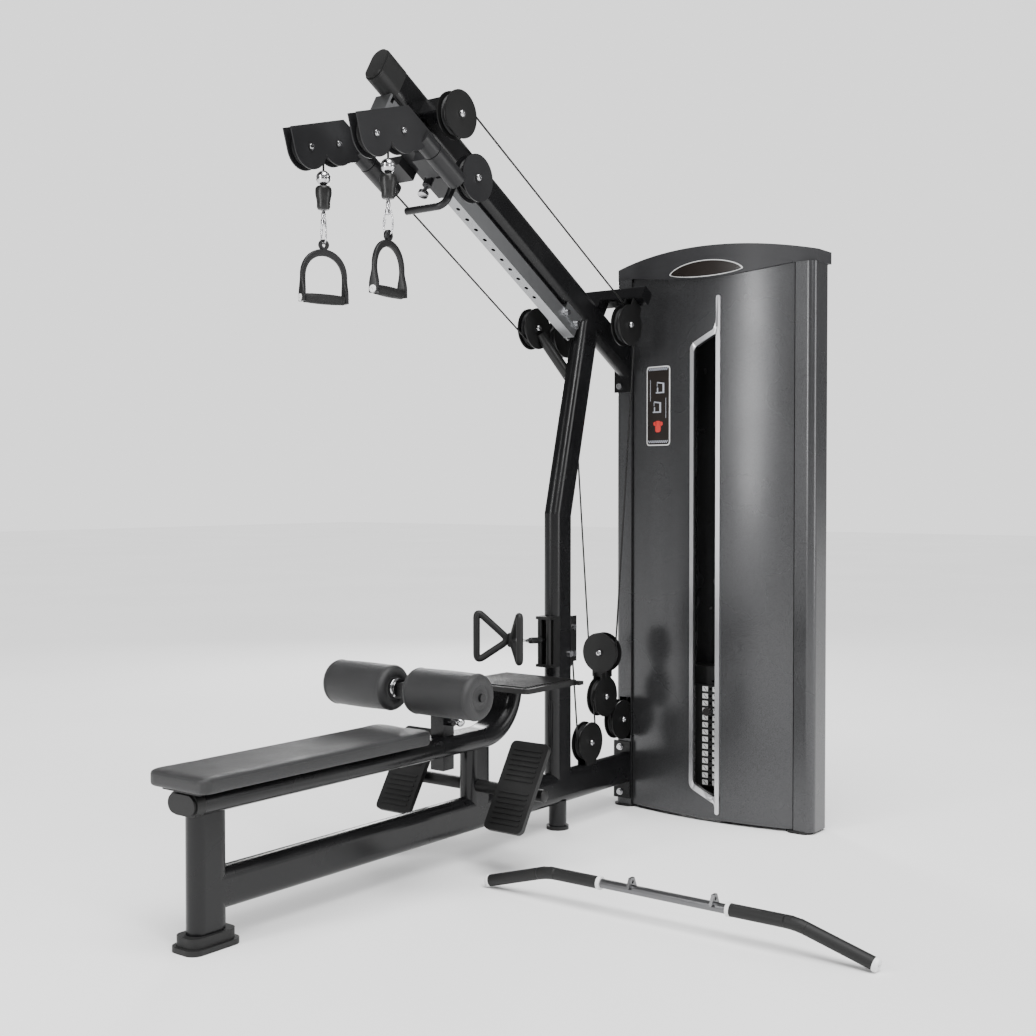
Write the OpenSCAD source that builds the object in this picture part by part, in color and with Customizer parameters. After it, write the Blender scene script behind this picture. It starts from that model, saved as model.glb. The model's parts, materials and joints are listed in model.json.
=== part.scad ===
// Dual-arm cable machine: lat pulldown with a low row station.
// Frame: +X runs along the base beam from the seat to the weight tower, +Y is the seated user's left
// when facing the tower, +Z is up. The origin is the floor point under the mast.

/* [Main tubes] */
// Narrow side of the flat-oval frame tubes
tube_w = 60; // [56:1:64]
// Long side of the flat-oval frame tubes
tube_h = 110; // [104:1:116]
// Wall thickness of the frame tubes
wall = 3; // [2:0.5:4]
// Height of the base beam's centre line
beam_z = 140; // [136:1:144]
// Distance from the mast to the centre of the front post
front_x = -1517; // [-1530:1:-1505]

/* [Seat] */
// Height of the seat rail's underside
rail_z = 341; // [335:1:345]
// Length of the seat pad
seat_l = 860; // [820:5:880]
// Width of the seat pad
seat_w = 230; // [220:2:250]
// Thickness of the seat pad
seat_t = 50; // [42:1:54]

/* [Boom] */
// Slope of the boom below horizontal, in degrees
boom_slope = 30; // [29.5:0.5:30.5]
// Distance of the boom's centre line from the origin
boom_n = 1593.5; // [1590:0.5:1598]
// Distance of each handle line from the middle plane
arm_y = 124; // [122:1:126]
// Distance from the boom's centre line to the swivel tubes' axes
swivel_drop = 166; // [164:1:168]

/* [Pulleys] */
// Radius at which the cable runs round a large pulley
pulley_r = 55; // [53:1:57]
// Radius at which the cable runs round a head pulley
head_r = 45; // [44:1:46]
// Diameter of the cables
cable_d = 6; // [5:0.5:6]

/* [Weight tower] */
// Distance from the mast to the middle of the tower columns
tower_x = 479; // [476:1:482]
// Height of the tower columns
tower_h = 1895; // [1885:1:1905]
// Thickness of one weight plate
plate_t = 25; // [24.5:0.1:25]
// Number of plates that stay down when the stack is lifted
plates_down = 10; // [8:1:11]
// Number of plates that the stack lifts with the selector where it is drawn
plates_up = 4; // [3:1:4]

/* [Hidden] */
$fn = 48;

// Derived places along the main tubes
beam_top = beam_z + tube_h / 2;
rail_top = rail_z + tube_w;
rail_mid = rail_z + tube_w / 2;
rail_end = -433;
rail_bend_r = 150;
sleeve_x = -601;
post_side = 40;
roller_c = [-766, 560];
column_front = tower_x - 60;
plate_face = column_front - 8;
tower_mid_y = -344;
bulge_r = 1283.6;
bulge_front = 387;
mast_bend_z = 1058;
mast_lean = 14.15;

// Derived places on the boom: distances down the boom (t) and square to it (n)
boom_end_t = -1853;
track_n = boom_n - 98.5;
track_w = 42;
track_h = 53;
swivel_n = boom_n - swivel_drop;
arm_pulley_n = swivel_n + pulley_r;
head_rear_tn = [-1870, swivel_n - head_r];
head_front_tn = [-1950, swivel_n - 125.3];
carriage_tn = [-1552, arm_pulley_n];
boom_upper_tn = [-1703, arm_pulley_n + 2 * pulley_r];
cross_tn = [-660, 1708.5];
pin_t = -1602;

// Side-view position, [x, z], of a point given along and square to the boom
function tn(p) = [p[0] * cos(boom_slope) + p[1] * sin(boom_slope),
    -p[0] * sin(boom_slope) + p[1] * cos(boom_slope)];

// Wheel centres in side view, [x, z]
boom_right_c = tn([-654.5, arm_pulley_n + 2 * pulley_r]);
boom_left_c = tn([-818, arm_pulley_n]);
cross_left_c = [201, 1676];
mast_row_c = [29, 590];
base_c = [176, 267];
block_upper_c = [269, 570];
block_lower_c = [269, 415];
tower_low_c = [379, 320];
top_z = 1830;
stack_c = [491, -341];
plate_depth = 94;
stack_front = 434;
stack_z = 111.5;
pitch = plate_t + 0.1;
plates_all = plates_down + plates_up;
stack_top = stack_z + plates_all * pitch;
guide_dy = 95;

// Pulley proportions
axle_d = 12;
running = 0.1;
rim = 5;
wheel_w = 20;
guard_r = pulley_r + 15;
guard_in = 14;
guard_t = 4;
drop_x = tn(head_rear_tn)[0] - head_r;
drop_z = tn(head_rear_tn)[1];

// ---- Cable runs: each entry is [x, z, radius, side]; side 1 keeps the wheel on the cable's right

function heading(a, b) = atan2(b[1] - a[1], b[0] - a[0])
    - asin((a[3] * a[2] - b[3] * b[2]) / norm([b[0] - a[0], b[1] - a[1]]));
function touch(c, dir) = [c[0] - c[3] * c[2] * sin(dir), c[1] + c[3] * c[2] * cos(dir)];
function wheel_entry(c, side) = [c[0], c[1], pulley_r, side];
function free_point(c) = [c[0], c[1], 0, 0];

right_run = [free_point(boom_right_c + [pulley_r, -4]), wheel_entry(boom_right_c, -1),
    wheel_entry(tn(boom_upper_tn), -1), free_point(tn([-1699, arm_pulley_n + pulley_r]))];
left_run = [free_point(tn([-822, swivel_n])), wheel_entry(boom_left_c, -1),
    wheel_entry(cross_left_c, 1), free_point(cross_left_c + [pulley_r, -1])];
low_run = [free_point([-64, mast_row_c[1] + pulley_r]), wheel_entry(mast_row_c, 1),
    wheel_entry(base_c, -1), wheel_entry(block_lower_c, 1), wheel_entry(tower_low_c, -1),
    free_point([tower_low_c[0] + pulley_r, top_z - 30])];
carriage_run = [free_point(tn([-1556, arm_pulley_n + pulley_r])), wheel_entry(tn(carriage_tn), 1),
    free_point(tn([-1869.5, swivel_n]))];
top_span = norm([stack_c[0] - tower_low_c[0] - pulley_r, stack_c[1]]);
top_turn = atan2(stack_c[1], stack_c[0] - tower_low_c[0] - pulley_r);
top_run = [free_point([0, top_z - 30]), wheel_entry([pulley_r, top_z], 1),
    wheel_entry([top_span - pulley_r, top_z], 1), free_point([top_span, top_z - 1])];

// ---- Shared shapes

// Lays a drawing made in X and Y into the side view, X and Z, at distance y
module side_view(y = 0) {
    translate([0, y, 0]) rotate([90, 0, 0]) children();
}

// Local x runs down the boom, local z is square to it
module on_boom() {
    rotate([0, boom_slope, 0]) children();
}

module rod(p, q, d) {
    v = q - p;
    len = norm(v);
    translate(p) rotate([0, acos(v[2] / len), atan2(v[1], v[0])]) cylinder(d = d, h = len);
}

module stadium(a, b) {
    square([a - b, b], center = true);
    for (s = [-1, 1]) translate([s * (a - b) / 2, 0]) circle(d = b);
}

module oval_tube_2d() {
    difference() {
        stadium(tube_h, tube_w);
        stadium(tube_h - 2 * wall, tube_w - 2 * wall);
    }
}

module rounded_rect(a, b, r) {
    square([a - 2 * r, b], center = true);
    square([a, b - 2 * r], center = true);
    for (x = [-1, 1], y = [-1, 1]) translate([x * (a / 2 - r), y * (b / 2 - r)]) circle(r = r);
}

module run_line(run, i) {
    dir = heading(run[i], run[i + 1]);
    p = touch(run[i], dir);
    q = touch(run[i + 1], dir);
    gap = 0.02 * [cos(dir), sin(dir)];
    rod(concat(p + gap, 0), concat(q - gap, 0), cable_d);
}

module run_arc(run, i) {
    start = heading(run[i - 1], run[i]) + 90 * run[i][3];
    stop = heading(run[i], run[i + 1]) + 90 * run[i][3];
    sweep = run[i][3] > 0 ? start - stop : stop - start;
    span = sweep - 360 * floor(sweep / 360);
    first = run[i][3] > 0 ? stop : start;
    translate([run[i][0], run[i][1], 0]) rotate([0, 0, first])
        rotate_extrude(angle = span) translate([run[i][2], 0]) circle(d = cable_d);
}

module wheel_2d(r) {
    bore_r = axle_d / 2 + running / 2;
    difference() {
        translate([bore_r, -wheel_w / 2]) square([r + rim - bore_r, wheel_w]);
        translate([r, 0]) circle(d = cable_d + 0.4);
        polygon([[r, -cable_d / 2 - 0.2], [r + rim + 1, -wheel_w / 2 + 2],
            [r + rim + 1, wheel_w / 2 - 2], [r, cable_d / 2 + 0.2]]);
        for (s = [-1, 1]) translate([(18 + r - 10) / 2, s * wheel_w / 2])
            square([r - 28, 10], center = true);
    }
}

// Grooved wheel with its axis along Y
module wheel(c, y, r = pulley_r) {
    translate([c[0], y, c[1]]) rotate([90, 0, 0]) color([0.05, 0.05, 0.06])
        rotate_extrude() wheel_2d(r);
}

// Axle pin and the two guard plates of one wheel, drawn in side view and centred on the wheel
module guard_pair(r = guard_r, tongue = 0, turn = 0) {
    cylinder(d = axle_d, h = 2 * (guard_in + guard_t), center = true);
    for (s = [-1, 1]) translate([0, 0, s * (guard_in + guard_t / 2)])
        linear_extrude(guard_t, center = true) {
            circle(r = r);
            if (tongue > 0) rotate(turn) translate([0, -30]) square([tongue, 60]);
        }
}

// Button-head bolt ends on both faces of something that is w wide, axis along Y
module bolt_ends(c, y, w, d = 24) {
    for (s = [-1, 1]) translate([c[0], y + s * w / 2, c[1]]) rotate([-90 * s, 0, 0]) {
        cylinder(d = d, h = 2);
        translate([0, 0, 2]) cylinder(d1 = d - 4, d2 = d - 8, h = 6);
    }
}

// ---- Base and seat

// Rubber shoes, tower feet and the plastic plugs of the open tube ends
module end_fittings() {
    color([0.06, 0.06, 0.07]) {
        translate([front_x, 0, 0]) linear_extrude(14) rounded_rect(164, 100, 30);
        translate([front_x, 0, 14]) linear_extrude(26) rounded_rect(146, 84, 28);
        cylinder(d = 76, h = 12);
        translate([tower_x, 9, 0]) linear_extrude(8) rounded_rect(132, 78, 20);
        translate([tower_x, -677, 0]) linear_extrude(8) rounded_rect(132, 78, 20);
        translate([-1586, 0, rail_mid]) rotate([90, 0, 90]) linear_extrude(28)
            stadium(tube_h, tube_w);
        translate([-1594, 0, rail_mid]) rotate([90, 0, 90]) linear_extrude(8)
            stadium(tube_h - 10, tube_w - 10);
        on_boom() translate([boom_end_t - 84, 0, boom_n]) rotate([90, 0, 90])
            rotate(90) linear_extrude(84) stadium(tube_h + 2, tube_w + 2);
        on_boom() translate([boom_end_t - 92, 0, boom_n]) rotate([90, 0, 90])
            rotate(90) linear_extrude(8) stadium(tube_h - 6, tube_w - 6);
    }
}

module base_frame() {
    color([0.09, 0.09, 0.10]) {
        difference() {
            translate([front_x, 0, beam_z]) rotate([90, 0, 90]) rotate(90)
                linear_extrude(plate_face - front_x) oval_tube_2d();
            translate([front_x, 0, beam_z - tube_h / 2 - 1]) linear_extrude(tube_h + 2)
                stadium(tube_h - 1, tube_w - 1);
        }
        translate([front_x, 0, 40]) linear_extrude(rail_z - 40) oval_tube_2d();
        difference() {
            translate([-446, 0, beam_top - 30]) linear_extrude(rail_z - beam_top + 30)
                oval_tube_2d();
            translate([-461, 0, 228]) rotate([90, 0, 0]) cylinder(d = 38.1, h = 100, center = true);
        }
        translate([0, 0, 12]) cylinder(d = 60, h = beam_z - tube_h / 2);
        translate([plate_face, -25, 30]) cube([column_front - plate_face, 68, 205]);
    }
}

// Seat rail, its upward bend, the seat plate and the sleeve for the roller post
module seat_rail() {
    inner = post_side + 0.3;
    color([0.09, 0.09, 0.10]) {
        difference() {
            union() {
                translate([-1558, 0, rail_mid]) rotate([90, 0, 90])
                    linear_extrude(rail_end + 1558) oval_tube_2d();
                side_view() translate([rail_end, rail_mid + rail_bend_r, 0]) rotate(-90)
                    rotate_extrude(angle = 90) translate([rail_bend_r, 0]) rotate(90)
                        oval_tube_2d();
                translate([sleeve_x, 0, 298]) linear_extrude(172) square(50, center = true);
            }
            translate([sleeve_x, 0, 290]) linear_extrude(200) square(inner, center = true);
            translate([-400, -100, 510]) cube([200, 200, 100]);
        }
        translate([-1594, -70, rail_top]) cube([790, 140, 6]);
        translate([sleeve_x, -25, 448]) rotate([90, 0, 0]) difference() {
            cylinder(d = 30, h = 22);
            translate([0, 0, -1]) cylinder(d = 12.2, h = 24);
        }
    }
}

module seat_pad() {
    color([0.16, 0.16, 0.17]) translate([-1190, 0, rail_top + 6.5]) linear_extrude(seat_t - 6)
        rounded_rect(seat_l, seat_w, 28);
}

// Ribbed foot plates on the cross bar through the rear seat post
module foot_plates() {
    tilt = 31.4;
    color([0.10, 0.10, 0.11]) {
        difference() {
            translate([-461, 0, 228]) rotate([90, 0, 0]) cylinder(d = 38, h = 560, center = true);
            translate([-461, 0, 228]) rotate([90, 0, 0]) cylinder(d = 32, h = 562, center = true);
        }
        for (s = [-1, 1]) translate([-511, s * 218, 256]) rotate([0, tilt, 0]) {
            rotate([90, 0, 90]) linear_extrude(16, center = true) rounded_rect(140, 283, 18);
            for (zone = [-1, 1], k = [-3 : 3])
                translate([-8, 0, zone * 68 + k * 16]) rotate([0, -90, 0]) rotate(90)
                    linear_extrude(3) stadium(108, 8);
            translate([8, -25, -32]) cube([34, 50, 60]);
        }
    }
}

module top_step() {
    color([0.08, 0.08, 0.09]) {
        translate([-234.5, 0, 510]) linear_extrude(16) rounded_rect(277, 304, 18);
        for (k = [-8 : 8]) translate([-234.5 + k * 15, 0, 526]) linear_extrude(4)
            rotate(90) stadium(268, 7);
        translate([-120, -170, 512]) cube([26, 22, 12]);
    }
}

module roller_post() {
    color([0.09, 0.09, 0.10]) {
        translate([sleeve_x, 0, 302]) linear_extrude(258) square(post_side, center = true);
        translate([roller_c[0] - 20, -20, 540]) cube([sleeve_x - roller_c[0] + 40, 40, 40]);
        translate([roller_c[0], 0, roller_c[1]]) rotate([90, 0, 0])
            cylinder(d = 24, h = 580, center = true);
    }
    color([0.8, 0.8, 0.82]) for (s = [-1, 1])
        translate([roller_c[0], s * 20, roller_c[1]]) rotate([-90 * s, 0, 0])
            cylinder(d1 = 60, d2 = 34, h = 14);
}

// Foam roller with rounded ends on the cross shaft
module roller(s) {
    r = 68;
    half = 123.5;
    edge = 16;
    color([0.14, 0.14, 0.15]) translate([roller_c[0], s * (36 + half), roller_c[1]])
        rotate([90, 0, 0]) rotate_extrude() {
            translate([12.05, -half]) square([r - edge - 12.05, 2 * half]);
            translate([r - edge - 0.01, -half + edge]) square([edge, 2 * (half - edge)]);
            for (e = [-1, 1]) translate([r - edge, e * (half - edge)]) circle(r = edge);
        }
}

module roller_pin() {
    color([0.85, 0.85, 0.86]) translate([sleeve_x, -26, 448]) rotate([90, 0, 0]) {
        cylinder(d = 12, h = 38);
        translate([0, 0, 44]) sphere(d = 28);
    }
}

// ---- Mast and row station

// Upright lower length and leaning upper length, mitred where they meet
module mast_path() {
    difference() {
        translate([0, 0, beam_top - 30]) linear_extrude(mast_bend_z + 60 - beam_top) children();
        mitre_cut(0);
    }
    difference() {
        translate([0, 0, mast_bend_z]) rotate([0, mast_lean, 0]) translate([0, 0, -30])
            linear_extrude(740) children();
        mitre_cut(180);
    }
}

module mitre_cut(turn) {
    translate([0, 0, mast_bend_z]) rotate([0, mast_lean / 2, 0]) rotate([turn, 0, 0])
        translate([-200, -100, -0.02]) cube([400, 200, 100]);
}

module mast() {
    color([0.09, 0.09, 0.10]) difference() {
        mast_path() stadium(tube_h, tube_w);
        mast_path() stadium(tube_h - 2 * wall, tube_w - 2 * wall);
        beam_solid_at(-200, 200, 0.2);
        boom_solid(0.2);
        translate([-70, -6, 628]) cube([40, 12, 34]);
        translate([30, -19, 515]) cube([40, 38, 215]);
        translate([mast_row_c[0], 0, mast_row_c[1]]) rotate([90, 0, 0])
            cylinder(d = axle_d + 0.1, h = 80, center = true);
    }
}

module beam_solid_at(x0, x1, grow = 0) {
    translate([x0, 0, beam_z]) rotate([90, 0, 90]) rotate(90) linear_extrude(x1 - x0)
        stadium(tube_h + grow, tube_w + grow);
}

module boom_solid(grow = 0) {
    on_boom() translate([boom_end_t, 0, boom_n]) rotate([90, 0, 90]) rotate(90)
        linear_extrude(1700) stadium(tube_h + grow, tube_w + grow);
}

// Mouth of the low cable: a block with two upright rollers and a lower lip
module row_guide() {
    color([0.07, 0.07, 0.08]) difference() {
        translate([-66, -30, 553]) cube([36, 60, 169]);
        translate([0, 0, 540]) linear_extrude(200) stadium(tube_h + 0.1, tube_w + 0.1);
        translate([-80, -6, 575]) cube([60, 12, 125]);
    }
    color([0.07, 0.07, 0.08]) translate([-84, -30, 553]) cube([18, 60, 10]);
    color([0.07, 0.07, 0.08]) translate([-84, -30, 712]) cube([18, 60, 10]);
    color([0.5, 0.5, 0.52]) for (s = [-1, 1]) translate([-76, s * 17, 563])
        cylinder(d = 18, h = 149);
}

// ---- Boom

module boom() {
    stub_y = arm_y - guard_in - guard_t;
    color([0.10, 0.10, 0.11]) difference() {
        union() {
            on_boom() translate([boom_end_t, 0, boom_n]) rotate([90, 0, 90]) rotate(90)
                linear_extrude(1600) oval_tube_2d();
            on_boom() translate([boom_upper_tn[0] - 30, 0, boom_upper_tn[1]]) rotate([90, 0, 0])
                translate([0, 0, 28]) linear_extrude(stub_y - 28)
                    rounded_rect(50, 60, 6);
            on_boom() translate([cross_tn[0] - 22, 0, boom_n + 50]) linear_extrude(40)
                square([50, 40], center = true);
        }
        translate([plate_face, -100, 1300]) cube([400, 200, 500]);
        on_boom() translate([cross_tn[0] - 25, -200, cross_tn[1] - 25]) cube([50, 400, 50]);
    }
    color([0.10, 0.10, 0.11]) difference() {
        translate([plate_face, -25, 1492]) cube([column_front - plate_face, 68, 230]);
    }
}

// Perforated square-edged track under the boom that the carriage slides on
module boom_rail() {
    start_t = -1868;
    end_t = -773;
    color([0.62, 0.63, 0.65]) on_boom() difference() {
        translate([start_t, 0, track_n]) rotate([90, 0, 90]) linear_extrude(end_t - start_t)
            difference() {
                square([track_w, track_h], center = true);
                square([track_w - 6, track_h - 6], center = true);
            }
        for (k = [0 : 12]) translate([-1002 - 50 * k, 0, track_n - track_h / 2 - 1])
            cylinder(d = 14, h = 6);
    }
    color([0.10, 0.10, 0.11]) on_boom() {
        gap = boom_n - tube_h / 2 - track_n - track_h / 2;
        translate([boom_end_t + 3, -20, track_n + track_h / 2]) cube([42, 40, gap]);
        translate([-868, -20, track_n + track_h / 2]) cube([95, 40, gap]);
        for (s = [-1, 1]) translate([-868, s * (track_w / 2 + 2.5) - 2.5, track_n + 6])
            cube([95, 5, 45]);
        translate([start_t - 8, -30, track_n - 20]) cube([8, 60, 62]);
    }
}

// Square tube across the boom that carries two pulleys, with its end plugs
module cross_tube() {
    color([0.10, 0.10, 0.11]) on_boom() translate([cross_tn[0], 0, cross_tn[1]])
        rotate([90, 0, 0]) linear_extrude(340, center = true) difference() {
            rounded_rect(50, 50, 8);
            rounded_rect(44, 44, 5);
        }
    color([0.05, 0.05, 0.06]) on_boom() for (s = [-1, 1])
        translate([cross_tn[0], s * 171.5, cross_tn[1]]) rotate([90, 0, 0])
            linear_extrude(3, center = true) rounded_rect(50, 50, 8);
}

// Guard plates, axle pins and brackets of the wheels that stay on the frame
module pulley_guards() {
    hang = cross_tn[1] - 25.2;
    color([0.07, 0.07, 0.08]) {
        on_boom() translate([boom_upper_tn[0], -arm_y, boom_upper_tn[1]]) rotate([90, 0, 0])
            guard_pair();
        side_view(-arm_y) translate([boom_right_c[0], boom_right_c[1], 0])
            guard_pair(tongue = hang - boom_upper_tn[1], turn = 90 - boom_slope);
        side_view(arm_y) translate([cross_left_c[0], cross_left_c[1], 0])
            guard_pair(tongue = hang - cross_left_n(), turn = 90 - boom_slope);
        side_view(arm_y) translate([boom_left_c[0], boom_left_c[1], 0]) guard_pair();
        difference() {
            rod([112, 10, 1500], [boom_left_c[0] + 12, arm_y - guard_in - guard_t - 1,
                boom_left_c[1] - 20], 38);
            mast_path() stadium(tube_h, tube_w);
            translate([-100, arm_y - guard_in - guard_t, 1500]) cube([300, 60, 300]);
        }
        difference() {
            union() {
                side_view() translate([base_c[0], base_c[1], 0]) guard_pair();
                translate([base_c[0] - 32, -18, 180]) cube([64, 4, 60]);
                translate([base_c[0] - 32, 14, 180]) cube([64, 4, 60]);
            }
            beam_solid_at(0, plate_face);
        }
        side_view() translate([tower_low_c[0], tower_low_c[1], 0]) guard_pair();
        for (s = [-1, 1]) translate([column_front - 4, s * 18 - (s > 0 ? 0 : 7), 270])
            cube([4, s > 0 ? 20 : 7, 100]);
    }
    color([0.07, 0.07, 0.08]) {
        for (s = [-1, 1]) translate([36, s * 14 - 2, 560]) cube([52, 4, 155]);
        translate([mast_row_c[0], 0, mast_row_c[1]]) rotate([90, 0, 0])
            cylinder(d = axle_d, h = tube_w, center = true);
    }
}

function cross_left_n() = cross_left_c[0] * sin(boom_slope) + cross_left_c[1] * cos(boom_slope);

module frame_bolts() {
    pair_w = 2 * (guard_in + guard_t);
    color([0.8, 0.8, 0.82]) {
        bolt_ends(boom_right_c, -arm_y, pair_w);
        bolt_ends(cross_left_c, arm_y, pair_w);
        bolt_ends(boom_left_c, arm_y, pair_w);
        bolt_ends(base_c, 0, pair_w);
        translate([0, -arm_y - pair_w / 2, 0]) side_view()
            translate([tn(boom_upper_tn)[0], tn(boom_upper_tn)[1], 0]) {
                cylinder(d = 24, h = 2);
                translate([0, 0, 2]) cylinder(d1 = 20, d2 = 16, h = 6);
            }
        for (z = [214, 51]) translate([plate_face, 16, z]) rotate([0, -90, 0]) {
            cylinder(d = 24, h = 2);
            translate([0, 0, 2]) cylinder(d = 18, h = 8);
        }
        translate([plate_face, 19, 1514]) rotate([0, -90, 0]) cylinder(d = 22, h = 9);
        for (z = [586, 677]) translate([70, -16, z]) rotate([90, 0, 0]) cylinder(d = 18, h = 7);
        on_boom() for (t = [-853, -788]) translate([t, -26, track_n + 18]) rotate([90, 0, 0])
            cylinder(d = 20, h = 8);
        translate([mast_row_c[0], -tube_w / 2, mast_row_c[1]]) rotate([90, 0, 0])
            cylinder(d = 22, h = 7);
    }
}

module cable_fixed() {
    $fn = 20;
    color([0.03, 0.03, 0.03]) {
        side_view(-arm_y) {
            for (i = [0 : 2]) run_line(right_run, i);
            for (i = [1, 2]) run_arc(right_run, i);
        }
        side_view(arm_y) {
            for (i = [0 : 2]) run_line(left_run, i);
            for (i = [1, 2]) run_arc(left_run, i);
        }
        side_view() {
            for (i = [0, 1, 4]) run_line(low_run, i);
            for (i = [1, 2, 4]) run_arc(low_run, i);
        }
        translate([tower_low_c[0] + pulley_r, 0, 0]) rotate([0, 0, top_turn]) side_view() {
            for (i = [0 : 2]) run_line(top_run, i);
            for (i = [1, 2]) run_arc(top_run, i);
        }
    }
}

// ---- Sliding carriage with its swivel tubes

module carriage() {
    t0 = -1778;
    t1 = -1518;
    clear = 0.3;
    side_t = 5;
    box_w = track_w + 2 * clear + 2 * side_t;
    floor_n = track_n - track_h / 2 - clear;
    head_n = track_n + track_h / 2 + clear;
    color([0.09, 0.09, 0.10]) on_boom() {
        for (s = [-1, 1]) translate([t0, s * (track_w / 2 + clear + side_t / 2) - side_t / 2, floor_n])
            cube([t1 - t0, side_t, track_h + 2 * clear]);
        translate([t0, -box_w / 2, head_n]) cube([t1 - t0, box_w, 6]);
        difference() {
            union() {
                translate([t0, -box_w / 2, floor_n - 8]) cube([t1 - t0, box_w, 8]);
                translate([pin_t, 0, floor_n - 34]) cylinder(d = 28, h = 30);
            }
            translate([pin_t, 0, floor_n - 40]) cylinder(d = 12.2, h = 60);
        }
        translate([-1598, -arm_y + guard_in + 1, floor_n - 8]) cube([66, arm_y - 39, 8]);
        for (s = [-1, 1]) {
            translate([-1708, s > 0 ? 26 : -98, swivel_n + 4]) cube([74, 72, 33]);
            translate([-1733, s * arm_y, swivel_n]) rotate([0, 90, 0]) difference() {
                cylinder(d = 58, h = 125);
                translate([0, 0, -1]) cylinder(d = post_side + running, h = 127);
            }
        }
        translate([-1568, -70, floor_n - 8 - 52]) cylinder(d = 22, h = 54);
        translate([-1568, -40, floor_n - 60]) rotate([90, 0, 90]) rotate(180)
            rotate_extrude(angle = 90) translate([30, 0]) circle(d = 22);
        translate([-1568, -40, floor_n - 90]) rotate([-90, 0, 0]) cylinder(d = 22, h = 120);
        translate([carriage_tn[0], -arm_y, carriage_tn[1]]) rotate([90, 0, 0]) guard_pair();
    }
    color([0.8, 0.8, 0.82]) on_boom() translate([carriage_tn[0], -arm_y - guard_in - guard_t,
        carriage_tn[1]]) rotate([90, 0, 0]) cylinder(d1 = 22, d2 = 16, h = 8);
}

module carriage_pin() {
    tip_n = track_n - track_h / 2 - 0.2;
    color([0.85, 0.85, 0.86]) on_boom() translate([pin_t, 0, tip_n - 70]) {
        cylinder(d = 12, h = 70);
        cylinder(d = 32, h = 12);
    }
}

// Cable that moves with the carriage: round its wheel and up both swivel axes
module cable_carriage() {
    color([0.03, 0.03, 0.03]) {
        side_view(-arm_y) {
            for (i = [0, 1]) run_line(carriage_run, i);
            run_arc(carriage_run, 1);
        }
        on_boom() translate([-1869.5, arm_y, swivel_n]) rotate([0, 90, 0])
            cylinder(d = cable_d, h = 261.5);
    }
}

// The stretches between carriage and frame that grow and shrink as the carriage slides
module cable_boom() {
    color([0.03, 0.03, 0.03]) on_boom() {
        translate([-1698, -arm_y, swivel_n + 2 * pulley_r]) rotate([0, 90, 0])
            cylinder(d = cable_d, h = 141);
        translate([-1607, arm_y, swivel_n]) rotate([0, 90, 0]) cylinder(d = cable_d, h = 784);
    }
}

// ---- Swivelling pulley heads and handles; side is +1 on the left, -1 on the right

// Side plate of a head: two lobes round the wheels, joined to a tongue at the swivel tube
module head_plate_2d() {
    lobe = 62;
    r = head_rear_tn;
    f = head_front_tn;
    circle_at(r, lobe);
    circle_at(f, lobe);
    polygon([f + lobe * [-0.689, -0.725], f + lobe * [-1.414, -0.037], [r[0] - 20, swivel_n + 28],
        [-1761, swivel_n + 28],
        [-1786, swivel_n - 41], r + lobe * [0.3, -0.954], r, f]);
}

module circle_at(c, r) {
    translate(c) circle(r = r);
}

module head(side) {
    plate_in = 13;
    plate_t = 4;
    color([0.10, 0.10, 0.11]) on_boom() translate([0, side * arm_y, 0]) {
        for (s = [-1, 1]) translate([0, s * (plate_in + plate_t / 2), 0]) rotate([90, 0, 0])
            linear_extrude(plate_t, center = true) head_plate_2d();
        translate([-1795, 0, swivel_n]) rotate([0, 90, 0]) difference() {
            union() {
                cylinder(d = 56, h = 60);
                cylinder(d = post_side, h = 170);
            }
            translate([0, 0, -1]) cylinder(d = 14, h = 180);
        }
        for (c = [head_rear_tn, head_front_tn]) translate([c[0], 0, c[1]]) rotate([90, 0, 0])
            cylinder(d = axle_d, h = 2 * plate_in, center = true);
    }
    color([0.8, 0.8, 0.82]) on_boom() translate([0, side * arm_y, 0])
        for (c = [head_rear_tn, head_front_tn], s = [-1, 1])
            translate([c[0], s * (plate_in + plate_t), c[1]]) rotate([-90 * s, 0, 0])
                cylinder(d1 = 20, d2 = 15, h = 7);
    color([0.03, 0.03, 0.03]) translate([0, side * arm_y, 0]) side_view()
        translate([tn(head_rear_tn)[0], tn(head_rear_tn)[1], 0]) rotate(90 - boom_slope)
            rotate_extrude(angle = 90 + boom_slope) translate([head_r, 0]) circle(d = cable_d);
}

// Stop ball, rubber cone, clevis and carabiner on the end of a handle cable
module stop(side) {
    clevis_z = 1912;
    hook_w = 34;
    wire = 5;
    low_z = 1852;
    high_z = 1900;
    turn = handle_turn(side) + 90;
    translate([drop_x, side * arm_y, 0]) {
        color([0.85, 0.85, 0.86]) translate([0, 0, 2029]) sphere(d = 42);
        color([0.05, 0.05, 0.05]) translate([0, 0, 1940]) rotate_extrude() {
            polygon([[0, 0], [17, 0], [19, 6], [19, 20], [23.5, 44], [23.5, 58], [19, 64], [0, 70]]);
        }
        color([0.8, 0.8, 0.82]) {
            translate([0, 0, clevis_z]) cylinder(d = 12, h = 30);
            translate([0, 0, high_z - 6]) cylinder(d = 16, h = 20);
        }
        color([0.8, 0.8, 0.82]) rotate(turn) rotate([90, 0, 0]) {
            for (s = [-1, 1]) translate([s * hook_w / 2, low_z, 0]) rotate([-90, 0, 0])
                translate([0, 0, 8]) cylinder(d = wire, h = high_z - low_z - 10);
            translate([0, low_z + 8, 0]) rotate(180) rotate_extrude(angle = 180)
                translate([hook_w / 2, 0]) circle(d = wire);
            translate([0, high_z - 2, 0]) rotate_extrude(angle = 180)
                translate([hook_w / 2, 0]) circle(d = wire);
        }
    }
}

// Direction of a handle's grip, in degrees from +X
function handle_turn(side) = side > 0 ? -18 : 8;

module cable_drop(side) {
    color([0.03, 0.03, 0.03]) translate([drop_x, side * arm_y, 2050.2])
        cylinder(d = cable_d, h = drop_z - 2050.2 - 0.5);
}

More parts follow.
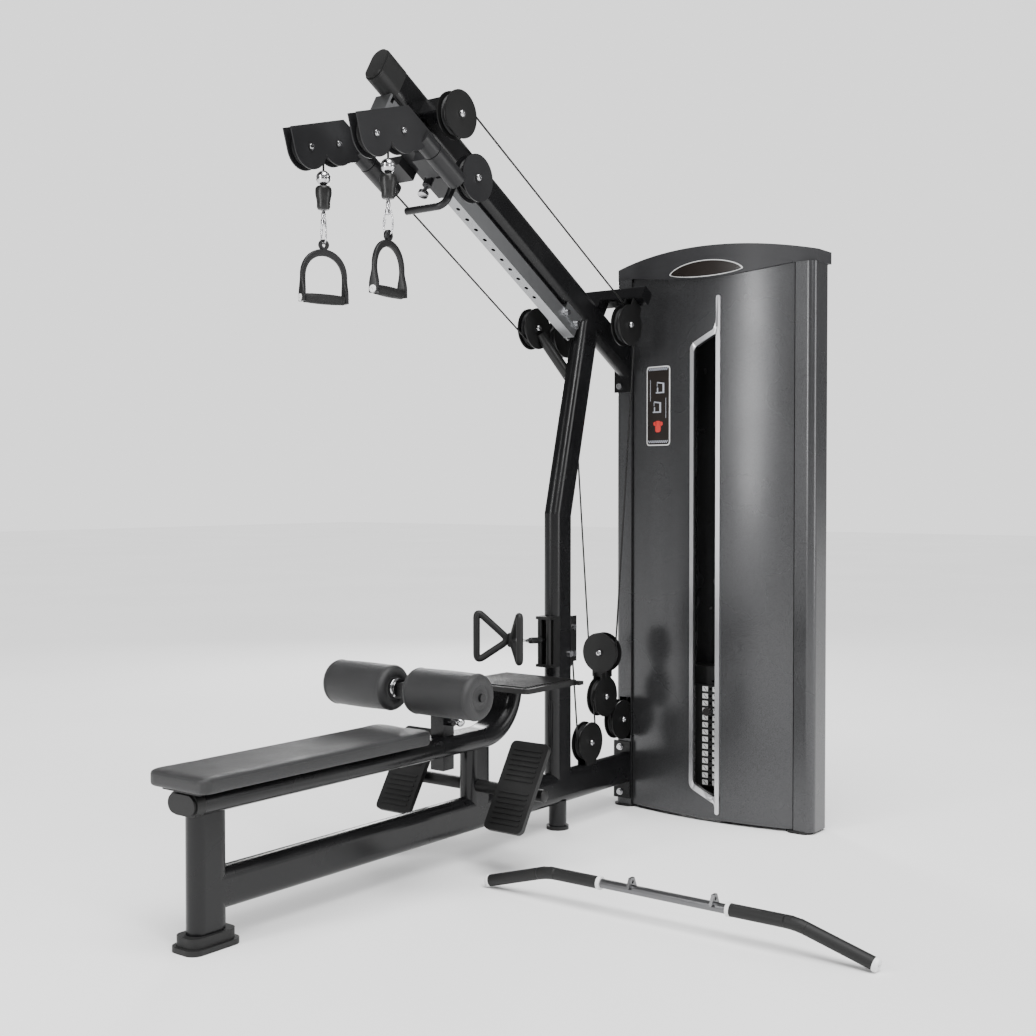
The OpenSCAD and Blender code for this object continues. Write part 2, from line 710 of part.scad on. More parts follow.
// Stirrup handle: an arch with an eye on top and a grip across the bottom
module dhandle(side) {
    eye_z = 1843;
    arch_r = 74;
    leg_z = 1690;
    arch_z = 1752;
    translate([drop_x, side * arm_y, 0]) rotate(handle_turn(side)) {
        color([0.08, 0.08, 0.09]) rotate([90, 0, 0]) {
            linear_extrude(12, center = true) difference() {
                union() {
                    translate([0, arch_z]) circle(r = arch_r);
                    translate([-arch_r, leg_z - 20]) square([2 * arch_r, arch_z - leg_z + 20]);
                    translate([-15, arch_z]) square([30, eye_z - arch_z]);
                    translate([0, eye_z - 1]) circle(r = 15);
                }
                translate([0, arch_z - 6]) circle(r = arch_r - 18);
                translate([-arch_r + 18, leg_z - 30]) square([2 * arch_r - 36, arch_z - leg_z + 24]);
                translate([0, eye_z - 3.2]) circle(d = 14);
            }
            for (s = [-1, 1]) translate([s * (arch_r - 6), 0, 0]) {
                translate([-6, leg_z - 6, -15]) cube([12, 52, 30]);
                translate([0, leg_z - 4, 0]) rotate([0, 90, 0]) cylinder(d = 30, h = 12, center = true);
            }
        }
        color([0.05, 0.05, 0.05]) translate([0, 0, leg_z - 4]) rotate([0, 90, 0])
            cylinder(d = 26, h = 2 * arch_r - 24, center = true);
        color([0.9, 0.9, 0.9]) for (s = [-1, 1]) translate([s * arch_r, 0, leg_z - 4])
            rotate([0, 90 * s, 0]) cylinder(d = 20, h = 2);
    }
}

module row_handle() {
    apex = [-257, 0, 660];
    spread = 51;
    reach = 112;
    grip_z = [-69, 96];
    color([0.08, 0.08, 0.09]) translate(apex) {
        for (s = [-1, 1]) rotate(180 + s * spread) {
            top = [reach, 0, grip_z[1]];
            low = [reach, 0, grip_z[0]];
            root_top = [0, 0, 12];
            root_low = [0, 0, -12];
            rod(root_top, top, 11);
            rod(root_low, low, 11);
            translate(top) sphere(d = 25);
            translate(low) sphere(d = 25);
            translate(low) cylinder(d = 25, h = grip_z[1] - grip_z[0]);
        }
        cylinder(d = 20, h = 42, center = true);
    }
    color([0.8, 0.8, 0.82]) {
        rod(apex, [-171, 0, 650], 9);
        rod([-171, 0, 650], [-93, 0, 645], 16);
        translate([-171, 0, 650]) sphere(d = 20);
    }
    color([0.03, 0.03, 0.03]) translate([-94, 0, 645]) rotate([0, 90, 0]) cylinder(d = cable_d, h = 29.5);
}

// ---- Floating pulley block

module pulley_block() {
    color([0.08, 0.08, 0.09]) {
        translate([block_upper_c[0], 0, block_upper_c[1]]) rotate(90) rotate([90, 0, 0])
            guard_pair(tongue = 84, turn = -90);
        side_view() translate([block_lower_c[0], block_lower_c[1], 0])
            guard_pair(tongue = 84, turn = 90);
    }
    color([0.7, 0.7, 0.72]) translate([block_upper_c[0], 0, 492.5]) cube([28, 28, 14], center = true);
    color([0.8, 0.8, 0.82]) {
        bolt_ends(block_lower_c, 0, 36);
        translate([block_upper_c[0], 0, 0]) rotate(90) bolt_ends([0, block_upper_c[1]], 0, 36);
    }
}

module cable_block() {
    $fn = 20;
    x = block_upper_c[0];
    z = block_upper_c[1];
    color([0.03, 0.03, 0.03]) {
        translate([x, 0, z]) rotate(90) rotate([90, 0, 0]) rotate(180)
            rotate_extrude(angle = 180) translate([pulley_r, 0]) circle(d = cable_d);
        rod([x, pulley_r, z + 0.4], [cross_left_c[0] + pulley_r, arm_y, cross_left_c[1] - 5],
            cable_d);
        rod([x, -pulley_r, z + 0.4], [boom_right_c[0] + pulley_r, -arm_y, boom_right_c[1] - 5],
            cable_d);
        side_view() {
            for (i = [2, 3]) run_line(low_run, i);
            run_arc(low_run, 3);
        }
    }
}

// ---- Loose straight bar on the floor

bar_x = -681;
bar_far = -239;
bar_near = -1420;
bar_rise = 61;
bar_low_z = 17;
bar_kink_far = -451;
bar_kink_near = -1207;

module bar_pieces(d) {
    high = bar_low_z + bar_rise;
    rod([bar_x, bar_far, bar_low_z], [bar_x, bar_kink_far, high], d);
    rod([bar_x, bar_near, bar_low_z], [bar_x, bar_kink_near, high], d);
}

module lat_bar() {
    high = bar_low_z + bar_rise;
    color([0.30, 0.30, 0.31]) {
        bar_pieces(25);
        for (y = [bar_kink_far, bar_kink_near]) translate([bar_x, y, high]) sphere(d = 26);
        rod([bar_x, bar_kink_far, high], [bar_x, bar_kink_near, high], 25);
        for (y = [-728, -978]) translate([bar_x, y, high]) rotate([90, 0, 0])
            linear_extrude(8, center = true) difference() {
                polygon([[-22, 4], [-9, 32], [9, 32], [22, 4]]);
                translate([0, 21]) circle(d = 10);
            }
    }
}

module sleeve(p, q) {
    along = (q - p) / norm(q - p);
    difference() {
        rod(p + 9 * along, q - 9 * along, 34);
        rod(p, q, 25.1);
    }
}

module lat_bar_grips() {
    high = bar_low_z + bar_rise;
    ends = [[bar_far, bar_kink_far, -180], [bar_near, bar_kink_near, 190]];
    color([0.05, 0.05, 0.05]) for (e = ends) {
        sleeve([bar_x, e[0], bar_low_z], [bar_x, e[1], high]);
        sleeve([bar_x, e[1], high], [bar_x, e[1] + e[2], high]);
    }
}

// ---- Weight tower

module column_2d(inset) {
    w = 120 - 2 * inset;
    d = 68 - 2 * inset;
    r = 25 - inset;
    translate([-w / 2, inset]) {
        square([w, d - r]);
        translate([r, 0]) square([w - 2 * r, d]);
        for (x = [r, w - r]) translate([x, d - r]) circle(r = r);
    }
}

module tower_columns() {
    color([0.20, 0.20, 0.21]) {
        difference() {
            translate([tower_x, -25, 8]) linear_extrude(tower_h - 8) difference() {
                column_2d(0);
                column_2d(wall);
            }
            translate([column_front - 10, -23, 245]) cube([40, 46, 150]);
            translate([column_front + 5, -30, top_z - 75]) cube([110, 20, 160]);
        }
        translate([tower_x, -664, 8]) mirror([0, 1, 0]) linear_extrude(tower_h - 8) difference() {
            column_2d(0);
            column_2d(wall);
        }
    }
    color([0.08, 0.08, 0.09]) {
        translate([tower_x - 40, -664, 30]) cube([100, 639, 40]);
        difference() {
            translate([tower_x - 45, -664, top_z - 88]) cube([100, 639, 8]);
            translate([stack_c[0], stack_c[1], top_z - 90]) cylinder(d = 16, h = 12);
        }
    }
}

// Front skin: a shallow vertical cylinder between the columns
module bulge(outset, z0, z1) {
    translate([bulge_front + bulge_r, tower_mid_y, z0]) linear_extrude(z1 - z0)
        circle(r = bulge_r + outset, $fn = 360);
}

module slot_outline(grow, tail) {
    polygon([[-301 + grow, 126 - 0.4 * grow - tail], [-387 - grow, 86 - grow - tail],
        [-387 - grow, 1677 + grow + tail], [-301 + grow, 1631 + 0.4 * grow + tail]]);
}

module front_shroud() {
    skin = 3;
    flange_top = top_z - 120;
    color([0.20, 0.20, 0.21]) {
        difference() {
            intersection() {
                difference() {
                    bulge(0, 10, tower_h);
                    bulge(-skin, 0, tower_h + 5);
                }
                translate([bulge_front - 20, -658, 10]) cube([70, 628, tower_h - 10]);
            }
            translate([300, 0, 0]) rotate([90, 0, 90]) linear_extrude(200) slot_outline(0, 0);
            translate([column_front - 60, -33, 240]) cube([60, 20, 160]);
            translate([column_front + 8.6, -60, flange_top]) cube([20, 40, tower_h]);
        }
        translate([column_front + 8, -658, 10]) cube([6.5, 3, tower_h - 15]);
        translate([column_front + 8, -33, 10]) cube([6.5, 3, flange_top - 10]);
    }
}

module rear_shroud() {
    color([0.20, 0.20, 0.21]) translate([tower_x + 60.3, -690, 10]) cube([2.5, 690, tower_h - 15]);
}

// Bright frame round the window, with its tapering tail and spur
module tower_trim() {
    color([0.80, 0.80, 0.82]) difference() {
        intersection() {
            difference() {
                bulge(6, 10, tower_h - 10);
                bulge(0, 0, tower_h);
            }
            translate([300, 0, 0]) rotate([90, 0, 90]) linear_extrude(120) union() {
                slot_outline(21, 10);
                polygon([[-290, 110], [-408, 60], [-396, 16], [-372, 16]]);
                polygon([[-300, 1650], [-408, 1700], [-401, 1818], [-391, 1818]]);
            }
        }
        translate([300, 0, 0]) rotate([90, 0, 90]) linear_extrude(200) slot_outline(0, 0);
    }
    color([0.16, 0.10, 0.08]) intersection() {
        difference() {
            bulge(1.5, 1298, 1577);
            bulge(0, 1200, 1600);
        }
        translate([300, -200, 1290]) cube([150, 105, 300]);
    }
}

// Cap shell over the columns: gently arched along its top and front
module cap_body(inset) {
    arch_r = 1836;
    intersection() {
        translate([0, tower_mid_y, 0]) rotate([90, 0, 90]) translate([0, 1977 - arch_r, 330])
            linear_extrude(300) circle(r = arch_r - inset, $fn = 360);
        bulge(6 - inset, tower_h - 1, 2000);
        translate([370, -735 + inset, tower_h - (inset > 0 ? 2 : 0)])
            cube([172 - inset, 781 - 2 * inset, 100]);
    }
}

module tower_cap() {
    belly_r = 2252;
    color([0.24, 0.24, 0.26]) difference() {
        cap_body(0);
        cap_body(5);
        translate([300, tower_mid_y, 0]) rotate([90, 0, 90]) translate([0, 1917 - belly_r, 0])
            linear_extrude(300) circle(r = belly_r, $fn = 360);
    }
}

module guide_rods() {
    color([0.82, 0.82, 0.84]) for (s = [-1, 1])
        translate([stack_c[0], stack_c[1] + s * guide_dy, 70])
            cylinder(d = 18, h = top_z - 88 - 70);
    color([0.05, 0.05, 0.05]) for (s = [-1, 1])
        translate([stack_c[0], stack_c[1] + s * guide_dy, 70]) difference() {
            cylinder(d = 46, h = stack_z - 70);
            translate([0, 0, -1]) cylinder(d = 18, h = 60);
        }
}

module weight_plate(k) {
    z = stack_z + k * pitch;
    difference() {
        translate([stack_front + plate_depth / 2, stack_c[1], z]) linear_extrude(plate_t)
            rounded_rect(plate_depth, 270, 6);
        for (s = [-1, 1]) translate([stack_c[0], stack_c[1] + s * guide_dy, z - 1])
            cylinder(d = 18 + 2 * running, h = plate_t + 2);
        translate([stack_c[0], stack_c[1], z - 1]) cylinder(d = 25 + 2 * running, h = plate_t + 2);
        translate([stack_front - 1, stack_c[1], z + plate_t / 2]) rotate([0, 90, 0])
            cylinder(d = 10.2, h = stack_c[0] - stack_front);
    }
}

module stack_plates() {
    color([0.10, 0.10, 0.11]) for (k = [0 : plates_down - 1]) weight_plate(k);
}

// Plates above the selector, the top plate, its guide block and the stem with its holes
module stack_lifted() {
    color([0.10, 0.10, 0.11]) {
        for (k = [plates_down : plates_all - 1]) weight_plate(k);
        difference() {
            translate([stack_c[0], stack_c[1], stack_top]) linear_extrude(64)
                rounded_rect(74, 240, 6);
            for (s = [-1, 1]) translate([stack_c[0], stack_c[1] + s * guide_dy, stack_top - 1])
                cylinder(d = 18 + 2 * running, h = 70);
            translate([stack_c[0] - 60, stack_c[1], stack_top + plate_t / 2]) rotate([0, 90, 0])
                cylinder(d = 10.2, h = 60);
        }
    }
    color([0.75, 0.75, 0.77]) {
        difference() {
            translate([stack_c[0], stack_c[1], stack_z + 4]) cylinder(d = 25, h = stack_top - stack_z);
            for (k = [0 : plates_all - 1])
                translate([stack_c[0], stack_c[1], stack_z + k * pitch + plate_t / 2])
                    rotate([0, 90, 0]) cylinder(d = 10.2, h = 40, center = true);
        }
        translate([stack_c[0], stack_c[1], stack_top + 60]) cylinder(d = 12, h = 76);
        translate([stack_c[0], stack_c[1], stack_top + 64]) cylinder(d = 26, h = 14, $fn = 6);
    }
}

module cable_stack() {
    from_z = stack_top + 136;
    color([0.03, 0.03, 0.03]) translate([stack_c[0], stack_c[1], from_z])
        cylinder(d = cable_d, h = top_z - 1 - from_z);
}

module selector_pin() {
    z = stack_z + plates_down * pitch + plate_t / 2;
    color([0.75, 0.10, 0.08]) translate([stack_front - 30, stack_c[1], z]) rotate([0, 90, 0]) {
        cylinder(d = 10, h = 95);
        cylinder(d = 28, h = 26);
    }
}

// The two pulleys over the weight stack, hidden behind the top of the shroud
module top_pulleys() {
    color([0.07, 0.07, 0.08]) translate([tower_low_c[0] + pulley_r, 0, 0])
        rotate([0, 0, top_turn]) side_view()
            for (x = [pulley_r, top_span - pulley_r]) translate([x, top_z, 0]) {
                rotate_extrude() wheel_2d(pulley_r);
                cylinder(d = axle_d + running, h = 26, center = true);
                for (s = [-1, 1]) translate([-16, -80, s * 12 - 1]) cube([32, 96, 2]);
            }
}

// ---- Wheels that turn on their own axles

module boom_wheel(c, y, r) {
    wheel(tn(c), y, r);
}

module wheel_block_upper() {
    translate([block_upper_c[0], 0, 0]) rotate(90) wheel([0, block_upper_c[1]], 0);
}

end_fittings();
base_frame();
seat_rail();
seat_pad();
mast();
boom();
boom_rail();
cross_tube();
pulley_guards();
foot_plates();
top_step();
row_guide();
tower_columns();
front_shroud();
rear_shroud();
tower_cap();
tower_trim();
guide_rods();
stack_plates();
top_pulleys();
frame_bolts();
cable_fixed();
stack_lifted();
cable_stack();
selector_pin();
pulley_block();
cable_block();
carriage();
carriage_pin();
cable_carriage();
cable_boom();
head(1);  // head_left
head(-1);  // head_right
stop(1);  // stop_left
stop(-1);  // stop_right
cable_drop(1);  // cable_drop_left
cable_drop(-1);  // cable_drop_right
dhandle(1);  // dhandle_left
dhandle(-1);  // dhandle_right
row_handle();
roller_post();
roller(1);  // roller_left
roller(-1);  // roller_right
roller_pin();
lat_bar();
lat_bar_grips();
boom_wheel(head_rear_tn, arm_y, head_r);  // wheel_head_rear_left
boom_wheel(head_rear_tn, -arm_y, head_r);  // wheel_head_rear_right
boom_wheel(head_front_tn, arm_y, head_r);  // wheel_head_front_left
boom_wheel(head_front_tn, -arm_y, head_r);  // wheel_head_front_right
boom_wheel(carriage_tn, -arm_y, pulley_r);  // wheel_carriage
boom_wheel(boom_upper_tn, -arm_y, pulley_r);  // wheel_boom_upper
wheel(boom_right_c, -arm_y);  // wheel_boom_right
wheel(boom_left_c, arm_y);  // wheel_boom_left
wheel(cross_left_c, arm_y);  // wheel_cross_left
wheel_block_upper();
wheel(block_lower_c, 0);  // wheel_block_lower
wheel(base_c, 0);  // wheel_base
wheel(tower_low_c, 0);  // wheel_tower_low
wheel(mast_row_c, 0);  // wheel_mast_row
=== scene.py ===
import json
import math

import bmesh
import bpy
from mathutils import Matrix, Vector
from mathutils.bvhtree import BVHTree


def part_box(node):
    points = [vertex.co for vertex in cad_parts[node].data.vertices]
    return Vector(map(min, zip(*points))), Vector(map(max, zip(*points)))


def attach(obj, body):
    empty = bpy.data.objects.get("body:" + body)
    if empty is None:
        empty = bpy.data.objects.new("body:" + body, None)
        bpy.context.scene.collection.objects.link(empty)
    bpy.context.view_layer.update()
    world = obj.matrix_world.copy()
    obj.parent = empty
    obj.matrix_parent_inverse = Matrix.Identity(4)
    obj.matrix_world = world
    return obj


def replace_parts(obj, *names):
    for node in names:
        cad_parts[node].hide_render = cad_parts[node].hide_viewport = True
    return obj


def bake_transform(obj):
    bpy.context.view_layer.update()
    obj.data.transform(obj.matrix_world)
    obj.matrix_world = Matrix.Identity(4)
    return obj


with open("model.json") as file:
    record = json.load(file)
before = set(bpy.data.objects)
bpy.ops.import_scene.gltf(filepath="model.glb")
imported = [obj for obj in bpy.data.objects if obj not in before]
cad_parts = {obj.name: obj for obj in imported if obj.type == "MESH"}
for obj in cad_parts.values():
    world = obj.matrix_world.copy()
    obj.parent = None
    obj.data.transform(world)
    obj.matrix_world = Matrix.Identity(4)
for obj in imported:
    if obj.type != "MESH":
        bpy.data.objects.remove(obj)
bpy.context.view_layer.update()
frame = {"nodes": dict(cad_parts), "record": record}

NODES = frame["nodes"]

# ---------------------------------------------------------------- camera
CAMERA_AT = (-3.8001, -2.7106, 1.150)
CAMERA_PITCH = 1.252
CAMERA_YAW = 37.143
CAMERA_LENS = 48.25


def make_camera():
    data = bpy.data.cameras.new("camera")
    data.lens = CAMERA_LENS
    data.sensor_width = 36
    data.clip_end = 100
    cam = bpy.data.objects.new("camera", data)
    cam.location = CAMERA_AT
    cam.rotation_euler = (math.radians(90 - CAMERA_PITCH), 0, math.radians(CAMERA_YAW - 90))
    bpy.context.collection.objects.link(cam)
    bpy.context.scene.camera = cam


# ---------------------------------------------------------------- material helpers
def new_material(name):
    mat = bpy.data.materials.new(name)
    mat.use_nodes = True
    tree = mat.node_tree
    return mat, tree, tree.nodes["Principled BSDF"]


def node(tree, kind, **inputs):
    made = tree.nodes.new(kind)
    for key, value in inputs.items():
        made.inputs[key.replace("_", " ")].default_value = value
    return made


def object_coords(tree, scale=(1, 1, 1)):
    coord = tree.nodes.new("ShaderNodeTexCoord")
    mapping = tree.nodes.new("ShaderNodeMapping")
    mapping.inputs["Scale"].default_value = scale
    tree.links.new(coord.outputs["Object"], mapping.inputs["Vector"])
    return mapping.outputs["Vector"]


def noise(tree, vector, scale, detail=4):
    made = node(tree, "ShaderNodeTexNoise", Scale=scale, Detail=detail, Roughness=0.5)
    tree.links.new(vector, made.inputs["Vector"])
    return made.outputs["Fac"]


def remap(tree, value, low, high):
    made = tree.nodes.new("ShaderNodeMapRange")
    made.inputs["From Min"].default_value = 0.3
    made.inputs["From Max"].default_value = 0.7
    made.inputs["To Min"].default_value = low
    made.inputs["To Max"].default_value = high
    tree.links.new(value, made.inputs["Value"])
    return made.outputs["Result"]


def blend_colours(tree, value, a, b):
    ramp = tree.nodes.new("ShaderNodeValToRGB")
    ramp.color_ramp.elements[0].position = 0.3
    ramp.color_ramp.elements[1].position = 0.7
    ramp.color_ramp.elements[0].color = (*a, 1)
    ramp.color_ramp.elements[1].color = (*b, 1)
    tree.links.new(value, ramp.inputs["Fac"])
    return ramp.outputs["Color"]


def bump(tree, shader, height, strength, distance):
    made = node(tree, "ShaderNodeBump", Strength=strength, Distance=distance)
    tree.links.new(height, made.inputs["Height"])
    tree.links.new(made.outputs["Normal"], shader.inputs["Normal"])


def surface(name, dark, light, rough, grain, bump_strength, metallic=0.0, mottling=6,
            stretch=(1, 1, 1), specular=0.35):
    """A finish with colour variation, uneven gloss and a fine bump; rough is (low, high)."""
    mat, tree, shader = new_material(name)
    vector = object_coords(tree, stretch)
    broad = noise(tree, vector, mottling)
    fine = noise(tree, vector, grain, detail=2)
    tree.links.new(blend_colours(tree, broad, dark, light), shader.inputs["Base Color"])
    tree.links.new(remap(tree, broad, *rough), shader.inputs["Roughness"])
    shader.inputs["Metallic"].default_value = metallic
    shader.inputs["Specular IOR Level"].default_value = specular
    bump(tree, shader, fine, bump_strength, 0.0004)
    return mat


def grained_vinyl(name, dark, light):
    """Leather-like grain: small cells with creases between them, over a faint mottling."""
    mat, tree, shader = new_material(name)
    vector = object_coords(tree)
    cells = node(tree, "ShaderNodeTexVoronoi", Scale=300.0)
    cells.feature = "DISTANCE_TO_EDGE"
    warp = noise(tree, vector, 60, detail=3)
    mixed = tree.nodes.new("ShaderNodeVectorMath")
    mixed.operation = "MULTIPLY_ADD"
    tree.links.new(vector, mixed.inputs[0])
    mixed.inputs[1].default_value = (1, 1, 1)
    tree.links.new(warp, mixed.inputs[2])
    tree.links.new(mixed.outputs[0], cells.inputs["Vector"])
    broad = noise(tree, vector, 9)
    tree.links.new(blend_colours(tree, broad, dark, light), shader.inputs["Base Color"])
    tree.links.new(remap(tree, broad, 0.42, 0.55), shader.inputs["Roughness"])
    shader.inputs["Sheen Weight"].default_value = 0.08
    bump(tree, shader, cells.outputs["Distance"], 0.6, 0.0008)
    return mat


def brushed(name, colour, rough, axis_stretch):
    """Metal with fine lines along one direction."""
    return surface(name, tuple(c * 0.85 for c in colour), colour, rough, metallic=1.0, grain=300,
                   bump_strength=0.12, stretch=axis_stretch, mottling=3)


def speckled_metal(name, dark, light):
    """Satin paint with metallic flakes and a faint ripple that softens what it mirrors."""
    mat, tree, shader = new_material(name)
    vector = object_coords(tree)
    flakes = node(tree, "ShaderNodeTexVoronoi", Scale=900.0)
    tree.links.new(vector, flakes.inputs["Vector"])
    tree.links.new(blend_colours(tree, flakes.outputs["Distance"], light, dark),
                   shader.inputs["Base Color"])
    ripple = noise(tree, vector, 160, detail=3)
    tree.links.new(remap(tree, noise(tree, vector, 2.5), 0.24, 0.32), shader.inputs["Roughness"])
    shader.inputs["Metallic"].default_value = 0.55
    shader.inputs["Coat Weight"].default_value = 0.25
    shader.inputs["Coat Roughness"].default_value = 0.2
    bump(tree, shader, ripple, 0.10, 0.0005)
    return mat


def make_materials():
    black_paint = dict(rough=(0.22, 0.30), grain=900, bump_strength=0.05, specular=0.32,
                       mottling=5)
    return {
        "frame_black": surface("frame_paint", (0.0035, 0.0035, 0.004), (0.006, 0.006, 0.0065),
                               **black_paint),
        "arm_black": surface("arm_paint", (0.010, 0.010, 0.011), (0.015, 0.015, 0.016),
                             **{**black_paint, "rough": (0.32, 0.42)}),
        "guard_black": surface("guard_paint", (0.005, 0.005, 0.005), (0.008, 0.008, 0.008),
                               **{**black_paint, "rough": (0.36, 0.46)}),
        "stack_black": surface("stack_paint", (0.008, 0.008, 0.008), (0.014, 0.014, 0.014),
                               **{**black_paint, "rough": (0.4, 0.5)}),
        "feet_rubber": surface("foot_rubber", (0.006, 0.006, 0.006), (0.010, 0.010, 0.010),
                               rough=(0.45, 0.6), grain=700, bump_strength=0.35),
        "tread_rubber": surface("tread_rubber", (0.006, 0.006, 0.006), (0.010, 0.010, 0.010),
                                rough=(0.42, 0.58), grain=600, bump_strength=0.35),
        "grip_rubber": surface("grip_rubber", (0.006, 0.006, 0.006), (0.009, 0.009, 0.009),
                               rough=(0.5, 0.62), grain=500, bump_strength=0.45),
        "handle_black": surface("handle_plastic", (0.007, 0.007, 0.007), (0.011, 0.011, 0.012),
                                rough=(0.36, 0.46), grain=800, bump_strength=0.08),
        "wheel_black": surface("wheel_nylon", (0.008, 0.008, 0.009), (0.014, 0.014, 0.014),
                               rough=(0.35, 0.5), grain=500, bump_strength=0.15),
        "stop_parts": surface("stop_rubber", (0.008, 0.008, 0.008), (0.014, 0.014, 0.014),
                              rough=(0.3, 0.4), grain=500, bump_strength=0.15),
        "cable_black": surface("cable_jacket", (0.004, 0.004, 0.004), (0.009, 0.009, 0.009),
                               rough=(0.25, 0.35), grain=900, bump_strength=0.1),
        "cap_charcoal": surface("cap_plastic", (0.022, 0.022, 0.024), (0.032, 0.032, 0.034),
                                rough=(0.38, 0.48), grain=900, bump_strength=0.3),
        # The slot keeps its name from the record; the knob itself is black.
        "pin_red": surface("pin_plastic", (0.012, 0.011, 0.011), (0.02, 0.018, 0.018),
                           rough=(0.2, 0.3), grain=300, bump_strength=0.05),
        "tower_gunmetal": speckled_metal("tower_paint", (0.030, 0.030, 0.031),
                                         (0.085, 0.086, 0.09)),
        "pad_vinyl": grained_vinyl("pad_vinyl", (0.008, 0.008, 0.0085), (0.013, 0.013, 0.014)),
        "trim_silver": brushed("trim_metal", (0.72, 0.72, 0.74), (0.22, 0.32), (1, 1, 0.05)),
        "track_silver": brushed("track_metal", (0.36, 0.365, 0.375), (0.3, 0.4), (0.05, 1, 0.05)),
        "bright_steel": surface("bright_steel", (0.5, 0.5, 0.51), (0.66, 0.66, 0.68), (0.16, 0.24),
                                metallic=1.0, grain=40, bump_strength=0.01),
        "label_white": surface("label_white", (0.62, 0.62, 0.62), (0.75, 0.75, 0.75),
                               rough=(0.3, 0.4), grain=200, bump_strength=0.03),
        "label_grey": surface("label_grey", (0.35, 0.37, 0.42), (0.48, 0.5, 0.56),
                              rough=(0.3, 0.4), grain=200, bump_strength=0.03),
        "label_brown": surface("label_brown", (0.010, 0.007, 0.006), (0.016, 0.012, 0.010),
                               rough=(0.25, 0.35), grain=200, bump_strength=0.03),
        "label_red": surface("label_red", (0.5, 0.03, 0.025), (0.65, 0.05, 0.04),
                             rough=(0.3, 0.4), grain=200, bump_strength=0.03),
        "cap_white": surface("white_plastic", (0.75, 0.75, 0.75), (0.85, 0.85, 0.85),
                             rough=(0.3, 0.4), grain=300, bump_strength=0.05),
        "bar_grey": brushed("bar_metal", (0.16, 0.16, 0.165), (0.28, 0.36), (1, 0.05, 1)),
    }


UNBEVELLED = ("tower_columns", "front_shroud")   # a bevel would draw bright lines down them


def paint_nodes(materials):
    for entry in frame["record"]["subparts"]:
        obj = NODES[entry["node"]]
        mat = materials[entry["material_slot"]]
        if not obj.material_slots:
            obj.data.materials.append(mat)
        for slot in obj.material_slots:
            slot.material = mat
        if entry["node"] not in UNBEVELLED:
            soften(obj, 0.0012, angle=40)


# ---------------------------------------------------------------- mesh helpers
def add_object(name, bm, mats, smooth=True):
    mesh = bpy.data.meshes.new(name)
    bmesh.ops.recalc_face_normals(bm, faces=bm.faces)
    bm.to_mesh(mesh)
    bm.free()
    obj = bpy.data.objects.new(name, mesh)
    bpy.context.collection.objects.link(obj)
    for mat in mats:
        mesh.materials.append(mat)
    if smooth:
        mesh.shade_smooth()
    return obj


def soften(obj, width, angle=35):
    """Small bevel on the edges sharper than angle."""
    edge = obj.modifiers.new("edge", "BEVEL")
    edge.width = width
    edge.segments = 2
    edge.limit_method = "ANGLE"
    edge.angle_limit = math.radians(angle)
    edge.harden_normals = True
    return obj


def axis_matrix(at, axis):
    """Frame at a point whose Z runs along axis."""
    turn = Vector(axis).normalized().to_track_quat("Z", "Y").to_matrix().to_4x4()
    return Matrix.Translation(Vector(at)) @ turn


def turn_angles(count):
    """Angles of points evenly spaced round a closed ring."""
    return [2 * math.pi * k / count for k in range(count)]


def revolve_into(bm, profile, matrix, steps=40, mat=0, hex_rings=0):
    """Turn a (radius, height) profile round Z; the first hex_rings rings are six-sided."""
    rings = []
    for i, (r, h) in enumerate(profile):
        if r < 1e-6:
            rings.append([bm.verts.new(matrix @ Vector((0, 0, h)))])
            continue
        ring = []
        for a in turn_angles(steps):
            radius = r
            if i < hex_rings:
                radius = r / math.cos((a + math.pi / 6) % (math.pi / 3) - math.pi / 6)
            ring.append(bm.verts.new(matrix @ Vector((radius * math.cos(a),
                                                      radius * math.sin(a), h))))
        rings.append(ring)
    for lower, upper in zip(rings, rings[1:]):
        for k in range(steps):
            n = (k + 1) % steps
            if len(lower) == 1 and len(upper) == 1:
                continue
            if len(lower) == 1:
                face = bm.faces.new((lower[0], upper[k], upper[n]))
            elif len(upper) == 1:
                face = bm.faces.new((lower[k], lower[n], upper[0]))
            else:
                face = bm.faces.new((lower[k], lower[n], upper[n], upper[k]))
            face.material_index = mat


def revolved(name, profile, at, axis, mat, angle=35):
    bm = bmesh.new()
    revolve_into(bm, profile, axis_matrix(at, axis), steps=48)
    return soften(add_object(name, bm, [mat]), 0.0006, angle=angle)


def tube_into(bm, path, radius, sides=14, closed=False):
    """Round tube along a list of points, with rings turned the shortest way."""
    points = [Vector(p) for p in path]
    count = len(points)
    rings = []
    tangent = None
    for i, p in enumerate(points):
        before = points[i - 1] if closed or i else p
        after = points[(i + 1) % count] if closed or i < count - 1 else p
        along = (after - before).normalized()
        if tangent is None:
            side = along.orthogonal().normalized()
        else:
            side = (tangent.rotation_difference(along) @ side).normalized()
        tangent = along
        up = along.cross(side)
        rings.append([bm.verts.new(p + radius * (math.cos(a) * side + math.sin(a) * up))
                      for a in turn_angles(sides)])
    pairs = list(zip(rings, rings[1:]))
    if closed:
        pairs.append((rings[-1], rings[0]))
    for lower, upper in pairs:
        shift = 0
        if closed and lower is rings[-1]:
            shift = min(range(sides), key=lambda s: (lower[0].co - upper[s].co).length)
        for k in range(sides):
            n = (k + 1) % sides
            bm.faces.new((lower[k], lower[n], upper[(n + shift) % sides],
                          upper[(k + shift) % sides]))
    if not closed:
        bm.faces.new(list(reversed(rings[0])))
        bm.faces.new(rings[-1])


def tube(name, path, radius, mat, sides=14, closed=False):
    bm = bmesh.new()
    tube_into(bm, path, radius, sides, closed)
    return add_object(name, bm, [mat])


def belong(parts, body):
    """Let pieces move with a body."""
    for part in parts:
        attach(part, body)


